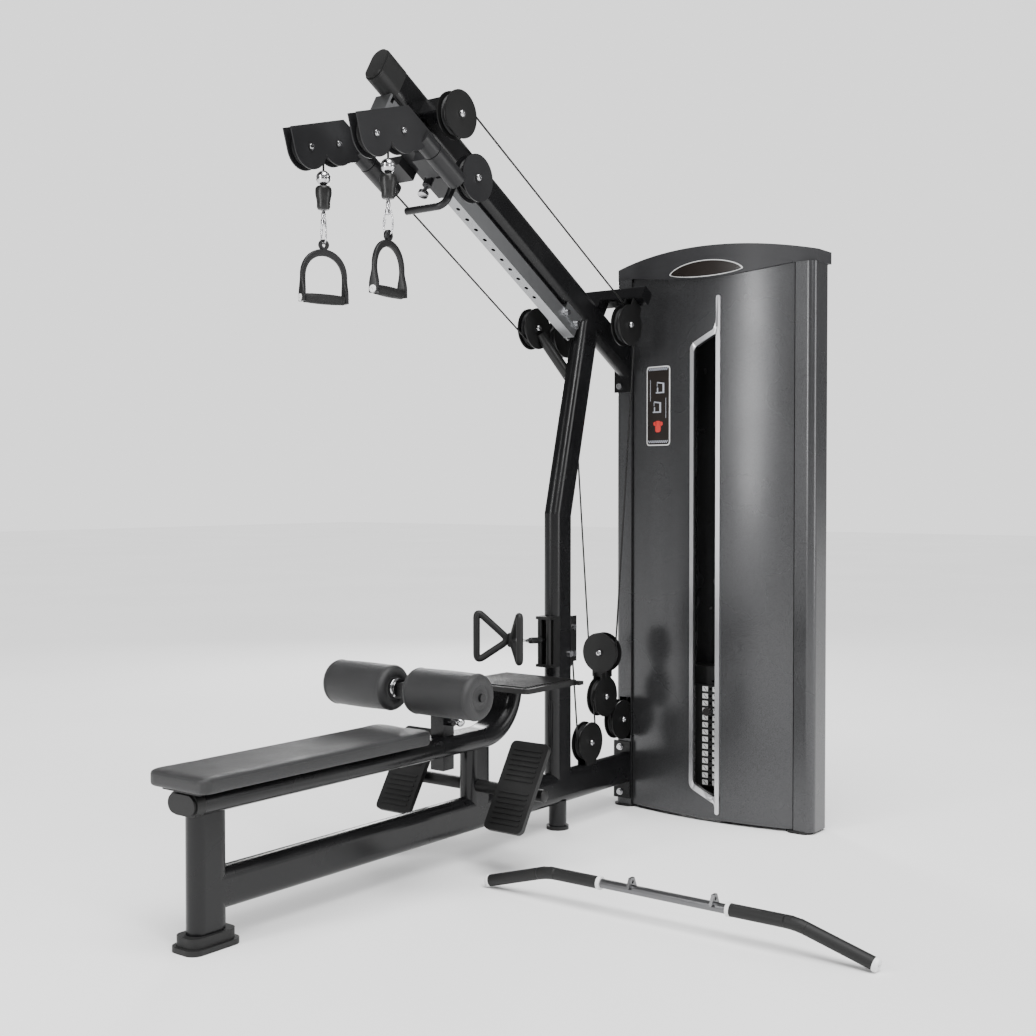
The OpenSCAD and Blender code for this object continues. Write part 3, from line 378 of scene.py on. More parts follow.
def line_points(a, b, count):
    a, b = Vector(a), Vector(b)
    return [a.lerp(b, k / (count - 1)) for k in range(count)]


def surface_of(obj):
    return BVHTree.FromObject(obj, bpy.context.evaluated_depsgraph_get())


def only_verts(made):
    return [v for v in made["geom"] if isinstance(v, bmesh.types.BMVert)]


def box_outline(y0, y1, z0, z1):
    return [(y0, z0), (y1, z0), (y1, z1), (y0, z1)]


def rounded_outline(y0, y1, z0, z1, r, steps=6):
    points = []
    corners = ((y1 - r, z1 - r, 0), (y0 + r, z1 - r, 90), (y0 + r, z0 + r, 180),
               (y1 - r, z0 + r, 270))
    for cy, cz, first in corners:
        for k in range(steps + 1):
            a = math.radians(first + 90 * k / steps)
            points.append((cy + r * math.cos(a), cz + r * math.sin(a)))
    return points


AHEAD_OF_TOWER, TOWER_FRONT = 0.3, 0.39   # X from which a label looks for its face


def label(name, outlines, under, proud, mat, thick=0.0005, slices=8):
    """Thin plate in front of a -X face; outlines are lists of (y, z).

    The face is a node's, or a function that gives its X at a y.
    """
    tree = None if callable(under) else surface_of(under)
    bm = bmesh.new()
    for outline in outlines:
        bm.faces.new([bm.verts.new((0, y, z)) for y, z in outline])
    bmesh.ops.remove_doubles(bm, verts=bm.verts, dist=1e-6)
    low = min(y for outline in outlines for y, z in outline)
    high = max(y for outline in outlines for y, z in outline)
    for k in range(1, slices):
        bmesh.ops.bisect_plane(bm, geom=bm.verts[:] + bm.edges[:] + bm.faces[:],
                               plane_co=(0, low + (high - low) * k / slices, 0),
                               plane_no=(0, 1, 0))
    back = bmesh.ops.extrude_face_region(bm, geom=bm.faces[:])
    moved = set(only_verts(back))
    for v in bm.verts:
        if tree is None:
            face = under(v.co.y)
        else:
            start = Vector((AHEAD_OF_TOWER, v.co.y, v.co.z))
            hit = tree.ray_cast(start, Vector((1, 0, 0)), 0.2)[0]
            face = (hit or tree.find_nearest(Vector((TOWER_FRONT, v.co.y, v.co.z)))[0]).x
        v.co.x = face - proud + (thick if v in moved else 0)
    return add_object(name, bm, [mat], smooth=False)


# ---------------------------------------------------------------- soft pads
PAD_VOXEL = 0.006
PAD_SWELL = 0.0035        # furthest that a point may move
PAD_SHRINK = 0.003        # room left for the swelling
PAD_CORNER = 0.028
WELT_R = 0.0664           # radius of the ring sewn round each roller end


def simulated_cushion(name, source, mat):
    """Inflate a slightly smaller copy of a CAD solid as cloth, then cap how far it moved."""
    low, high = (Vector(c) for c in source)
    bm = bmesh.new()
    outline = rounded_outline(low.x + PAD_SHRINK, high.x - PAD_SHRINK,
                              low.y + PAD_SHRINK, high.y - PAD_SHRINK, PAD_CORNER)
    bm.faces.new([bm.verts.new((x, y, low.z + 0.001)) for x, y in outline])
    made = bmesh.ops.extrude_face_region(bm, geom=bm.faces[:])
    lifted = only_verts(made)
    for v in lifted:
        v.co.z = high.z - PAD_SHRINK
    top = [e for e in bm.edges if all(v in lifted for v in e.verts)]
    bmesh.ops.bevel(bm, geom=top, offset=0.010, segments=4, affect="EDGES", profile=0.6)
    body = add_object(name, bm, [mat])
    remesh = body.modifiers.new("remesh", "REMESH")
    remesh.mode = "VOXEL"
    remesh.voxel_size = PAD_VOXEL
    apply_modifiers(body)
    before = [v.co.copy() for v in body.data.vertices]
    cloth = body.modifiers.new("cloth", "CLOTH")
    cloth.settings.use_pressure = True
    cloth.settings.uniform_pressure_force = 4
    cloth.settings.effector_weights.gravity = 0
    scene = bpy.context.scene
    for step in range(1, 21):
        scene.frame_set(step)
    apply_modifiers(body)
    scene.frame_set(1)
    for v, start in zip(body.data.vertices, before):
        move = v.co - start
        if move.length > PAD_SWELL:
            move *= PAD_SWELL / move.length
        v.co = start + move
        v.co.z = max(v.co.z, low.z)
    smooth = body.modifiers.new("smooth", "SMOOTH")
    smooth.iterations = 2
    rounder = body.modifiers.new("subdivision", "SUBSURF")
    rounder.levels = rounder.render_levels = 1
    apply_modifiers(body)
    body.data.shade_smooth()
    return body


def apply_modifiers(obj):
    shaped = obj.evaluated_get(bpy.context.evaluated_depsgraph_get())
    mesh = bpy.data.meshes.new_from_object(shaped)
    old = obj.data
    obj.modifiers.clear()
    obj.data = mesh
    bpy.data.meshes.remove(old)


def seam_round(name, pad, middle, z, mat):
    """Sewn welt lying on the side of a cushion at one height."""
    tree = surface_of(pad)
    half = pad.dimensions / 2
    path = []
    for a in turn_angles(220):
        c, s = math.cos(a), math.sin(a)
        to_end, to_side = half.x / max(abs(c), 1e-6), half.y / max(abs(s), 1e-6)
        reach = min(to_end, to_side)
        aim = Vector((middle[0] + reach * c, middle[1] + reach * s, z))
        out = Vector((math.copysign(1, c), 0, 0)) if to_end < to_side else \
            Vector((0, math.copysign(1, s), 0))
        hit = tree.ray_cast(aim + out * 0.05, -out)[0]
        if hit is not None and (hit - aim).length < 0.03:
            path.append(hit)
    return tube(name, path, 0.0011, mat, sides=8, closed=True)


def make_pads(m):
    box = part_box("seat_pad")
    pad = simulated_cushion("seat_cushion", box, m["pad_vinyl"])
    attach(pad, "frame")
    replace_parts(pad, "seat_pad")
    middle = (Vector(box[0]) + Vector(box[1])) / 2
    seam = seam_round("seat_seam", pad, middle, box[1][2] - 0.013, m["pad_vinyl"])
    belong([seam], "frame")
    for side in ("left", "right"):
        node_name = "roller_" + side
        low, high = (Vector(c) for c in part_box(node_name))
        at = (low + high) / 2
        length = high.y - low.y
        roller = foam_roller("foam_roller_" + side, at, length, (high.z - low.z) / 2, m)
        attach(roller, node_name)
        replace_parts(roller, node_name)
        for end in (-1, 1):
            welt = tube(f"roller_welt_{side}_{'in' if end * at.y < 0 else 'out'}",
                        [at + Vector((WELT_R * math.cos(a), end * (length / 2 - 0.017),
                                      WELT_R * math.sin(a)))
                         for a in turn_angles(64)],
                        0.0013, m["pad_vinyl"], sides=8, closed=True)
            belong([welt], node_name)


def foam_roller(name, at, length, radius, m):
    """Closed foam sleeve: barrel, rounded ends and a sunk round end panel with a plug."""
    half = length / 2
    straight = half - 0.019               # where the rounded end starts
    half_profile = [(0.0, half - 0.001), (0.018, half - 0.001), (0.020, half - 0.005),
                    (0.0325, half - 0.004), (0.0345, half - 0.0052), (0.0365, half - 0.0035),
                    (0.041, half - 0.0005), (radius - 0.018, half)]
    for k in range(1, 7):
        a = math.radians(15 * k)
        half_profile.append((radius - 0.018 + 0.0172 * math.sin(a),
                             half - 0.0172 * (1 - math.cos(a))))
    half_profile.append((radius - 0.0018, straight))
    for k in range(1, 8):
        half_profile.append((radius - 0.0006 - 0.0006 * math.cos(math.pi * k / 8),
                             straight * (1 - k / 8)))
    mirrored = [(r, -h) for r, h in reversed(half_profile)]
    bm = bmesh.new()
    revolve_into(bm, half_profile + [(radius - 0.0001, 0)] + mirrored,
                 axis_matrix(at, (0, 1, 0)), steps=64)
    obj = add_object(name, bm, [m["pad_vinyl"]])
    rounder = obj.modifiers.new("subdivision", "SUBSURF")
    rounder.levels = rounder.render_levels = 1
    return obj


# ---------------------------------------------------------------- cables
ARM_Y = 0.124
WHEEL_R = 0.055
CABLE_R = 0.003
BOOM_SLOPE = math.radians(30)
BLOCK_UPPER = Vector((0.269, 0, 0.570))   # centres of the floating block's two pulleys
BLOCK_LOWER = Vector((0.269, 0, 0.415))


def on_boom(t, n, y):
    """Point from its place along and across the boom, in millimetres."""
    c, s = math.cos(BOOM_SLOPE), math.sin(BOOM_SLOPE)
    return Vector((t * c + n * s, y, -t * s + n * c)) * 0.001


def taut(name, start, end, m, count=14):
    """Straight cable between two points, for a stretch whose length changes as the machine moves.
    """
    piece = tube(name, line_points(start, end, count), CABLE_R, m["cable_black"], sides=12)
    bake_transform(piece)
    return piece


def make_cables(m):
    """The cable stretches that move; the others stay as the CAD has them."""
    for side, y in (("left", ARM_Y), ("right", -ARM_Y)):
        low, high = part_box("cable_drop_" + side)
        x = (low[0] + high[0]) / 2
        drop = taut("drop_" + side, (x, y, high[2] + 0.0004), (x, y, low[2] - 0.006),
                    m)
        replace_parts(drop, "cable_drop_" + side)
    low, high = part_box("cable_stack")
    x, y = (low[0] + high[0]) / 2, (low[1] + high[1]) / 2
    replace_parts(taut("stack_cable", (x, y, high[2]), (x, y, low[2]), m),
                "cable_stack")
    right = taut("boom_cable_right", on_boom(-1698, 1537.5, -ARM_Y * 1000),
                 on_boom(-1557, 1537.5, -ARM_Y * 1000), m)
    taut("boom_cable_left", on_boom(-823, 1427.5, ARM_Y * 1000),
         on_boom(-1607, 1427.5, ARM_Y * 1000), m, 24)
    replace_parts(right, "cable_boom")
    taut("row_cable", (-0.0645, 0, 0.645), (-0.1, 0, 0.645), m)

    bottom = [BLOCK_UPPER + WHEEL_R * Vector((0, math.cos(a), -math.sin(a)))
              for a in (math.pi * k / 24 for k in range(25))]
    loop = tube("block_loop_upper", bottom, CABLE_R, m["cable_black"], sides=12)
    belong([loop], "block")
    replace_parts(loop, "cable_block")
    top = [BLOCK_LOWER + WHEEL_R * Vector((math.cos(a), 0, math.sin(a)))
           for a in (math.radians(186.9 * k / 24) for k in range(25))]
    loop = tube("block_loop_lower", top, CABLE_R, m["cable_black"], sides=12)
    belong([loop], "block")
    taut("block_cable_left", (0.256, ARM_Y, 1.671), bottom[0], m, 24)
    taut("block_cable_right", (0.2844, -ARM_Y, 1.7014), bottom[-1], m, 24)
    taut("block_cable_base", (0.2306, 0, 0.2736), top[-1], m)
    taut("block_cable_tower", (0.324, 0, 0.320), top[0], m)


# ---------------------------------------------------------------- handles and fittings
DROP_X = -0.9732                          # line of the two hanging handles
HANDLE_TURN = {"left": -18, "right": 8}   # how each stirrup hangs, in degrees
HANDLE_EYE_Z = 1.8398                     # height of its eye


def make_stop(side, y, m):
    """Chrome stop ball, rubber cone, swivel and spring hook of one handle cable."""
    body = "stop_" + side
    turn = math.radians(HANDLE_TURN[side] + 90)
    at = Vector((DROP_X, y, 0))
    ball = [(0.0035, 0.0204)]
    for k in range(1, 24):
        a = math.radians(80 - 160 * k / 23)
        ball.append((0.021 * math.cos(a), 0.021 * math.sin(a)))
    ball[11] = (0.0198, ball[11][1])
    ball[12] = (0.0198, ball[12][1])
    parts = [revolved("stop_ball_" + side, ball + [(0.0035, -0.0206), (0.0, -0.0206)],
                      at + Vector((0, 0, 2.029)), (0, 0, 1), m["bright_steel"], angle=60)]
    cone = [(0, 0), (0.0155, 0), (0.017, 0.0015), (0.019, 0.006), (0.019, 0.020),
            (0.0205, 0.029), (0.0232, 0.042), (0.0235, 0.047), (0.0235, 0.057), (0.0225, 0.061),
            (0.019, 0.065), (0.008, 0.0695), (0.0065, 0.0695), (0.006, 0.080), (0, 0.080)]
    parts.append(revolved("stop_cone_" + side, cone, at + Vector((0, 0, 1.940)), (0, 0, 1),
                          m["stop_parts"], angle=50))
    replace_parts(parts[1], body)
    swivel = [(0, 0.0), (0.0045, 0.0), (0.0075, 0.002), (0.008, 0.004), (0.008, 0.016),
              (0.0055, 0.018), (0.005, 0.021), (0.0062, 0.024), (0.0062, 0.034), (0.005, 0.036),
              (0.005, 0.047), (0, 0.047)]
    parts.append(revolved("swivel_" + side, swivel, at + Vector((0, 0, 1.8955)), (0, 0, 1),
                          m["bright_steel"]))
    across = Vector((math.cos(turn), math.sin(turn), 0))
    hook = []
    for a in turn_angles(64):
        width = 0.0145 - 0.0035 * math.sin(a)
        spread = math.copysign(abs(math.cos(a)) ** 0.75, math.cos(a)) * width
        hook.append(at + across * spread + Vector((0, 0, 1.8785 + 0.0355 * math.sin(a))))
    parts.append(tube("spring_hook_" + side, hook, 0.0025, m["bright_steel"], closed=True))
    gate = [at + across * (0.0142 - 0.0034 * k / 7) + Vector((0, 0, 1.868 + 0.018 * k / 7))
            for k in range(8)]
    parts.append(tube("hook_gate_" + side, gate, 0.0034, m["bright_steel"]))
    belong(parts, body)


def stirrup_section(s):
    """Centre, width in the loop's plane and depth across it, for s from 0 to 1 round the bow."""
    leg = 0.18
    if s < leg or s > 1 - leg:
        k = (s if s < leg else 1 - s) / leg
        x = -0.0685 + 0.0025 * k
        ease = max(0.0, (k - 0.35) / 0.65)
        depth = 0.030 - 0.017 * ease * ease * (3 - 2 * ease)
        centre = Vector((x if s < leg else -x, 0, 1.676 + 0.070 * k))
        return centre, 0.0115 + 0.003 * k, depth
    a = math.pi * (1 - (s - leg) / (1 - 2 * leg))
    centre = Vector((0.066 * math.cos(a), 0, 1.746 + 0.072 * math.sin(a) ** 0.9))
    return centre, 0.0145 + 0.0055 * math.sin(a), 0.0125


def make_stirrup(side, y, m):
    """Moulded bow with its eye, a ribbed rubber grip and two white end caps."""
    body = "dhandle_" + side
    place = Matrix.Translation((DROP_X, y, 0)) @ Matrix.Rotation(
        math.radians(HANDLE_TURN[side]), 4, "Z")
    bm = bmesh.new()
    steps, around = 72, 16
    rings = []
    for i in range(steps + 1):
        s = i / steps
        centre, width, depth = stirrup_section(s)
        ahead = stirrup_section(min(1, s + 0.004))[0] - stirrup_section(max(0, s - 0.004))[0]
        out = Vector((0, 1, 0)).cross(ahead.normalized())
        ring = []
        for k in range(around):
            a = 2 * math.pi * (k + 0.5) / around
            c = math.copysign(abs(math.cos(a)) ** 0.45, math.cos(a))
            d = math.copysign(abs(math.sin(a)) ** 0.45, math.sin(a))
            ring.append(bm.verts.new(place @ (centre + out * (width / 2 * c)
                                              + Vector((0, depth / 2 * d, 0)))))
        rings.append(ring)
    for a_ring, b_ring in zip(rings, rings[1:]):
        for k in range(around):
            n = (k + 1) % around
            bm.faces.new((a_ring[k], a_ring[n], b_ring[n], b_ring[k]))
    bm.faces.new(rings[0])
    bm.faces.new(list(reversed(rings[-1])))
    eye = [(0.0072, -0.006), (0.0145, -0.006), (0.0155, -0.004), (0.0155, 0.004),
           (0.0145, 0.006), (0.0072, 0.006), (0.0068, 0.0), (0.0072, -0.006)]
    revolve_into(bm, eye, place @ axis_matrix((0, 0, HANDLE_EYE_Z), (0, 1, 0)), 40)
    bmesh.ops.remove_doubles(bm, verts=bm.verts, dist=1e-6)
    bow = add_object("stirrup_" + side, bm, [m["handle_black"]])
    soften(bow, 0.0005)
    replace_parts(bow, body)
    grip_z = 1.686
    grip = []
    for k in range(-24, 25):
        h = 0.0618 * k / 24
        r = 0.0134 + 0.0018 * math.cos(math.pi * k / 48)
        if 17 < abs(k) < 23 and k % 2 == 0:
            r -= 0.0008
        grip.append((r, h))
    axis = place.to_3x3() @ Vector((1, 0, 0))
    sleeve = revolved("stirrup_grip_" + side,
                      [(0, -0.0618)] + grip + [(0, 0.0618)],
                      place @ Vector((0, 0, grip_z)), axis, m["grip_rubber"], angle=50)
    parts = [bow, sleeve]
    for end, word in ((-1, "a"), (1, "b")):
        cap = [(0, 0.0), (0.0028, 0.0), (0.0034, 0.0012), (0.0036, 0.0026), (0.0085, 0.0026),
               (0.0102, 0.0016), (0.0106, -0.002), (0, -0.002)]
        parts.append(revolved(f"stirrup_cap_{side}_{word}", cap,
                              place @ Vector((end * 0.0742, 0, grip_z)), end * axis,
                              m["cap_white"]))
    for part in parts:
        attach(part, body)


# ---------------------------------------------------------------- bolts, rings and labels
BOLT_BOSS = 0.0125


def bolt(name, at, axis, body, m, scale=1.0):
    """Black washer and chrome button head with a hexagon socket, standing on a face."""
    turn = axis_matrix(at, axis) @ Matrix.Scale(scale, 4)
    bm = bmesh.new()
    washer = [(0, 0.0002), (BOLT_BOSS, 0.0002), (BOLT_BOSS + 0.0003, 0.0008),
              (BOLT_BOSS + 0.0003, 0.0019), (BOLT_BOSS - 0.0005, 0.0026), (0.0, 0.0026)]
    revolve_into(bm, washer, turn, 32, mat=0)
    head = [(0, 0.0056), (0.0030, 0.0056), (0.0034, 0.0086), (0.0070, 0.0085), (0.0088, 0.0074),
            (0.0102, 0.0050), (0.0105, 0.0027), (0.0, 0.0027)]
    revolve_into(bm, head, turn, 36, mat=1, hex_rings=3)
    piece = add_object(name, bm, [m["guard_black"], m["bright_steel"]])
    soften(piece, 0.0003)
    belong([piece], body)


def make_bolts(m):
    """A bolt head on each free end of the pulley axles."""
    axles = {"boom_upper": (-0.6786, -ARM_Y, 2.2306, "frame"),
             "boom_right": (0.2294, -ARM_Y, 1.7064, "frame"),
             "cross_left": (0.201, ARM_Y, 1.676, "frame"),
             "boom_left": (0.0329, ARM_Y, 1.6929, "frame"),
             "base": (0.176, 0, 0.267, "frame"),
             "tower_low": (0.379, 0, 0.320, "frame"),
             "carriage": (-0.6028, -ARM_Y, 2.0599, "carriage"),
             "block_lower": (0.269, 0, 0.415, "block")}
    for word, (x, y, z, body) in axles.items():
        for sign in (-1, 1):
            if word == "tower_low" and sign > 0:
                continue
            bolt(f"bolt_{word}_{'near' if sign < 0 else 'far'}", (x, y + sign * 0.018, z),
                 (0, sign, 0), body, m)
    bolt("bolt_block_upper", (0.251, 0, 0.570), (-1, 0, 0), "block", m)
    for side, y in (("left", ARM_Y), ("right", -ARM_Y)):
        for word, x, z in (("rear", -0.9282, 2.1323), ("front", -1.0377, 2.1027)):
            for sign in (-1, 1):
                bolt(f"bolt_head_{word}_{side}_{'near' if sign < 0 else 'far'}",
                     (x, y + sign * 0.017, z), (0, sign, 0), "head_" + side, m, 0.86)


def make_roller_cones(m):
    """Chrome cups where the roller shaft leaves its arm."""
    low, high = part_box("roller_left")
    x, z = (low[0] + high[0]) / 2, (low[2] + high[2]) / 2
    for sign, side in ((1, "left"), (-1, "right")):
        cup = [(0.0124, 0.0), (0.0150, 0.0), (0.0158, 0.0012), (0.0180, 0.006), (0.0235, 0.0105),
               (0.0290, 0.0128), (0.0300, 0.0140), (0.0300, 0.0150), (0.0124, 0.0150),
               (0.0124, 0.0)]
        cone = revolved("roller_cup_" + side, cup, (x, sign * 0.0206, z), (0, sign, 0),
                        m["bright_steel"], angle=50)
        belong([cone], "roller_post")


BAR_X = -0.681                            # line of the loose bar
BAR_LOW, BAR_HIGH = 0.017, 0.078          # heights of its ends and of its straight middle
BAR_BENDS = ((-0.239, -0.451), (-1.420, -1.207))   # y of each end and of the bend before it


def make_bar_rings(m):
    """White rings and end caps of the loose bar."""
    ring = [(0.0127, -0.0055), (0.0176, -0.0055), (0.0186, -0.0042), (0.0186, 0.0042),
            (0.0176, 0.0055), (0.0127, 0.0055), (0.0127, -0.0055)]
    cap = [(0, 0.0035), (0.0030, 0.0035), (0.0042, 0.0048), (0.0150, 0.0048), (0.0172, 0.0034),
           (0.0184, 0.0), (0.0184, -0.007), (0.0172, -0.008), (0, -0.008)]
    parts = [revolved(f"bar_ring_{k}", ring, (BAR_X, y, BAR_HIGH), (0, 1, 0), m["cap_white"])
             for k, y in enumerate((-0.627, -1.021))]
    for k, (end, kink) in enumerate(BAR_BENDS):
        out = Vector((0, end - kink, BAR_LOW - BAR_HIGH)).normalized()
        at = Vector((BAR_X, end, BAR_LOW)) - out * 0.004
        parts.append(revolved(f"bar_end_{k}", cap, at, out, m["cap_white"]))
    belong(parts, "lat_bar")


def bar_figure():
    """Generic pictogram of a frame, a seat and an arm, as simple strokes."""
    def stroke(y0, z0, y1, z1, w):
        d = Vector((y1 - y0, z1 - z0)).normalized() * w / 2
        return [(y0 - d.y, z0 + d.x), (y1 - d.y, z1 + d.x), (y1 + d.y, z1 - d.x),
                (y0 + d.y, z0 - d.x)]
    return [stroke(-16, -18, -16, 18, 7), stroke(-16, 16, 12, 20, 4), stroke(18, -16, -12, -16, 4),
            stroke(10, -14, 10, 2, 5), stroke(12, 18, 12, 6, 2)]


def make_placard(m):
    """Generic instruction plate: two pictograms, a torso and small squares for text."""
    shroud = NODES["front_shroud"]
    y0, y1, z0, z1 = -0.200, -0.095, 1.298, 1.577
    rim = rounded_outline(y0, y1, z0, z1, 0.012)
    field = rounded_outline(y0 + 0.004, y1 - 0.004, z0 + 0.004, z1 - 0.004, 0.009)
    parts = [label("placard_rim", [rim], shroud, 0.0018, m["label_white"], 0.0018),
             label("placard_field", [field], shroud, 0.0022, m["label_brown"])]
    middle = (y0 + y1) / 2
    strokes = []
    for z, dy in ((1.500, -8), (1.432, 6)):
        for outline in bar_figure():
            strokes.append([(middle + (p + dy) * 0.001, z + q * 0.001) for p, q in outline])
    parts.append(label("placard_figures", strokes, shroud, 0.0026, m["label_grey"], slices=3))
    body = [rounded_outline(middle - 0.012, middle + 0.012, 1.345, 1.385, 0.008),
            rounded_outline(middle - 0.021, middle + 0.021, 1.368, 1.382, 0.006)]
    parts.append(label("placard_muscles", body, shroud, 0.0026, m["label_red"], slices=3))
    checks = []                           # small squares in place of text
    for row, z in enumerate((1.567, 1.5625, 1.312, 1.3075)):
        for k in range(11):
            y = y0 + 0.009 + 0.0085 * (k + 0.5 * (row % 2))
            if y + 0.004 < y1 - 0.006:
                checks.append(box_outline(y, y + 0.0042, z, z + 0.0042))
    checks.append(box_outline(middle + 0.034, middle + 0.0355, 1.455, 1.53))
    checks.append(box_outline(middle - 0.0355, middle - 0.034, 1.395, 1.465))
    parts.append(label("placard_checks", checks, shroud, 0.0026, m["label_grey"], slices=2))
    belong(parts, "frame")


TOWER_Y = -0.344                          # middle of the tower
BULGE_R = 1.2836                          # radius of its rounded front
BADGE_Z = 1.889                           # height of the badge's tips
BULGE_X = 0.387                           # furthest point of that front


def shroud_face(y):
    """X of the rounded front of the tower at this y."""
    return BULGE_X + BULGE_R - math.sqrt(BULGE_R ** 2 - (y - TOWER_Y) ** 2)


def make_badge(m):
    """Cap skirt that dips in the middle, with a blank leaf-shaped badge on it."""
    reach = 0.309                         # half the width of the skirt
    lower, upper = [], []
    for k in range(-30, 31):
        y = TOWER_Y + reach * k / 30
        swell = math.cos(math.pi / 2 * k / 30)
        lower.append((y, 1.896 - 0.029 * swell))
        upper.append((y, 1.9005 + 0.036 * swell))
    skirt = label("cap_skirt", [lower + upper[::-1]], shroud_face, 0.0078, m["cap_charcoal"],
                  thick=0.0062, slices=40)
    parts = [skirt]
    for name, grow, proud, mat in (("badge_rim", 0.0, 0.0092, "label_white"),
                                   ("badge_field", -0.003, 0.0098, "label_brown")):
        half = 0.143 + grow * 2
        leaf = []
        for k in range(64):
            a = math.pi * k / 32
            side, height = (1, 0.039) if k <= 32 else (-1, 0.018)
            leaf.append((TOWER_Y + half * math.cos(a),
                         BADGE_Z + side * (height + grow) * abs(math.sin(a)) ** 1.3))
        parts.append(label(name, [leaf], shroud_face, proud, m[mat], thick=0.0020,
                           slices=30))
    belong(parts, "frame")


STACK_FRONT = 0.434
STACK_Y = -0.341
PLATE_PITCH = 0.0251
PLATES_DOWN, PLATES_UP = 10, 4


def make_stack_labels(m):
    """Two pale labels with a diagonal bar on each plate, either side of its pin hole."""
    for word, body, first, count in (("down", "frame", 0, PLATES_DOWN),
                                     ("up", "stack", PLATES_DOWN, PLATES_UP)):
        paper = bmesh.new()
        for k in range(first, first + count):
            z = 0.1115 + PLATE_PITCH * (k + 0.5)
            for y in (STACK_Y + 0.020, STACK_Y - 0.020):
                for mat, x, outline in (
                        (0, 0.0005, rounded_outline(-0.011, 0.011, -0.0085, 0.0085, 0.0015, 3)),
                        (1, 0.0008, [(-0.007, -0.006), (-0.004, -0.006), (0.007, 0.006),
                                     (0.004, 0.006)])):
                    face = paper.faces.new([paper.verts.new((STACK_FRONT - x, y + p, z + q))
                                            for p, q in outline])
                    face.material_index = mat
                    made = bmesh.ops.extrude_face_region(paper, geom=[face])
                    for v in only_verts(made):
                        v.co.x += 0.0004
        piece = add_object("stack_labels_" + word, paper, [m["label_white"], m["label_brown"]],
                           smooth=False)
        belong([piece], body)


def quadratic(start, corner, end, u):
    return start * (1 - u) ** 2 + corner * 2 * u * (1 - u) + end * u ** 2


def round_corners(points, r, steps=5):
    """Flat outline with each corner turned into a short curve."""
    out = []
    count = len(points)
    for k, p in enumerate(points):
        p = Vector(p)
        a = (Vector(points[k - 1]) - p).normalized()
        b = (Vector(points[(k + 1) % count]) - p).normalized()
        for i in range(steps + 1):
            u = i / steps
            q = p + a * r * (1 - u) ** 2 + b * r * u ** 2
            out.append((q.x, q.y))
    return out


def make_trim(m):
    """Bright frame of the slanted window, with a tail at each end and a raised inner lip."""
    inner = [(-0.301, 0.126), (-0.387, 0.086), (-0.387, 1.677), (-0.301, 1.631)]
    outer = [(-0.286, 0.112), (-0.403, 0.057), (-0.403, 1.704), (-0.286, 1.643)]
    inner, outer = round_corners(inner, 0.012), round_corners(outer, 0.020)
    count = len(inner)
    frame_faces = [[inner[k], inner[(k + 1) % count], outer[(k + 1) % count], outer[k]]
                   for k in range(count)]
    tails = []
    for end, z0, reach, sweep in ((1, 1.672, 0.125, 0.055), (-1, 0.089, 0.052, 0.034)):
        flank, tip = [], []
        for k in range(9):
            a = math.pi / 2 * k / 8
            flank.append((-0.349 - 0.038 * math.sin(a),
                          z0 + end * (0.003 + sweep * (1 - math.cos(a)))))
            tip.append((-0.395 + 0.008 * math.cos(2 * a),
                        z0 + end * (reach + 0.008 * math.sin(2 * a))))
        tails.append([(-0.403, z0)] + flank + tip)
    parts = [label("window_frame", frame_faces, NODES["front_shroud"], 0.006, m["trim_silver"],
                   0.006, slices=10),
             label("window_tails", tails, NODES["front_shroud"], 0.0055, m["trim_silver"],
                   0.0055, slices=6)]
    lip_in = round_corners([(-0.3035, 0.1285), (-0.3845, 0.091), (-0.3845, 1.672),
                            (-0.3035, 1.629)], 0.010)
    lip = [[inner[k], inner[(k + 1) % count], lip_in[(k + 1) % count], lip_in[k]]
           for k in range(count)]
    parts.append(label("window_lip", lip, NODES["front_shroud"], 0.002, m["frame_black"],
                       0.008, slices=6))
    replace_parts(parts[0], "tower_trim")
    belong(parts, "frame")


def rounded_path(corners, r, steps=8):
    """Closed path through corners, each turned into a smooth bend."""
    path = []
    count = len(corners)
    for k, p in enumerate(corners):
        p = Vector(p)
        a = Vector(corners[k - 1]) - p
        b = Vector(corners[(k + 1) % count]) - p
        start, end = p + a.normalized() * r, p + b.normalized() * r
        for i in range(steps + 1):
            u = i / steps
            path.append(quadratic(start, p, end, u))
        far = p + b - b.normalized() * r
        for i in range(1, 5):
            path.append(end.lerp(far, i / 5))
    return path


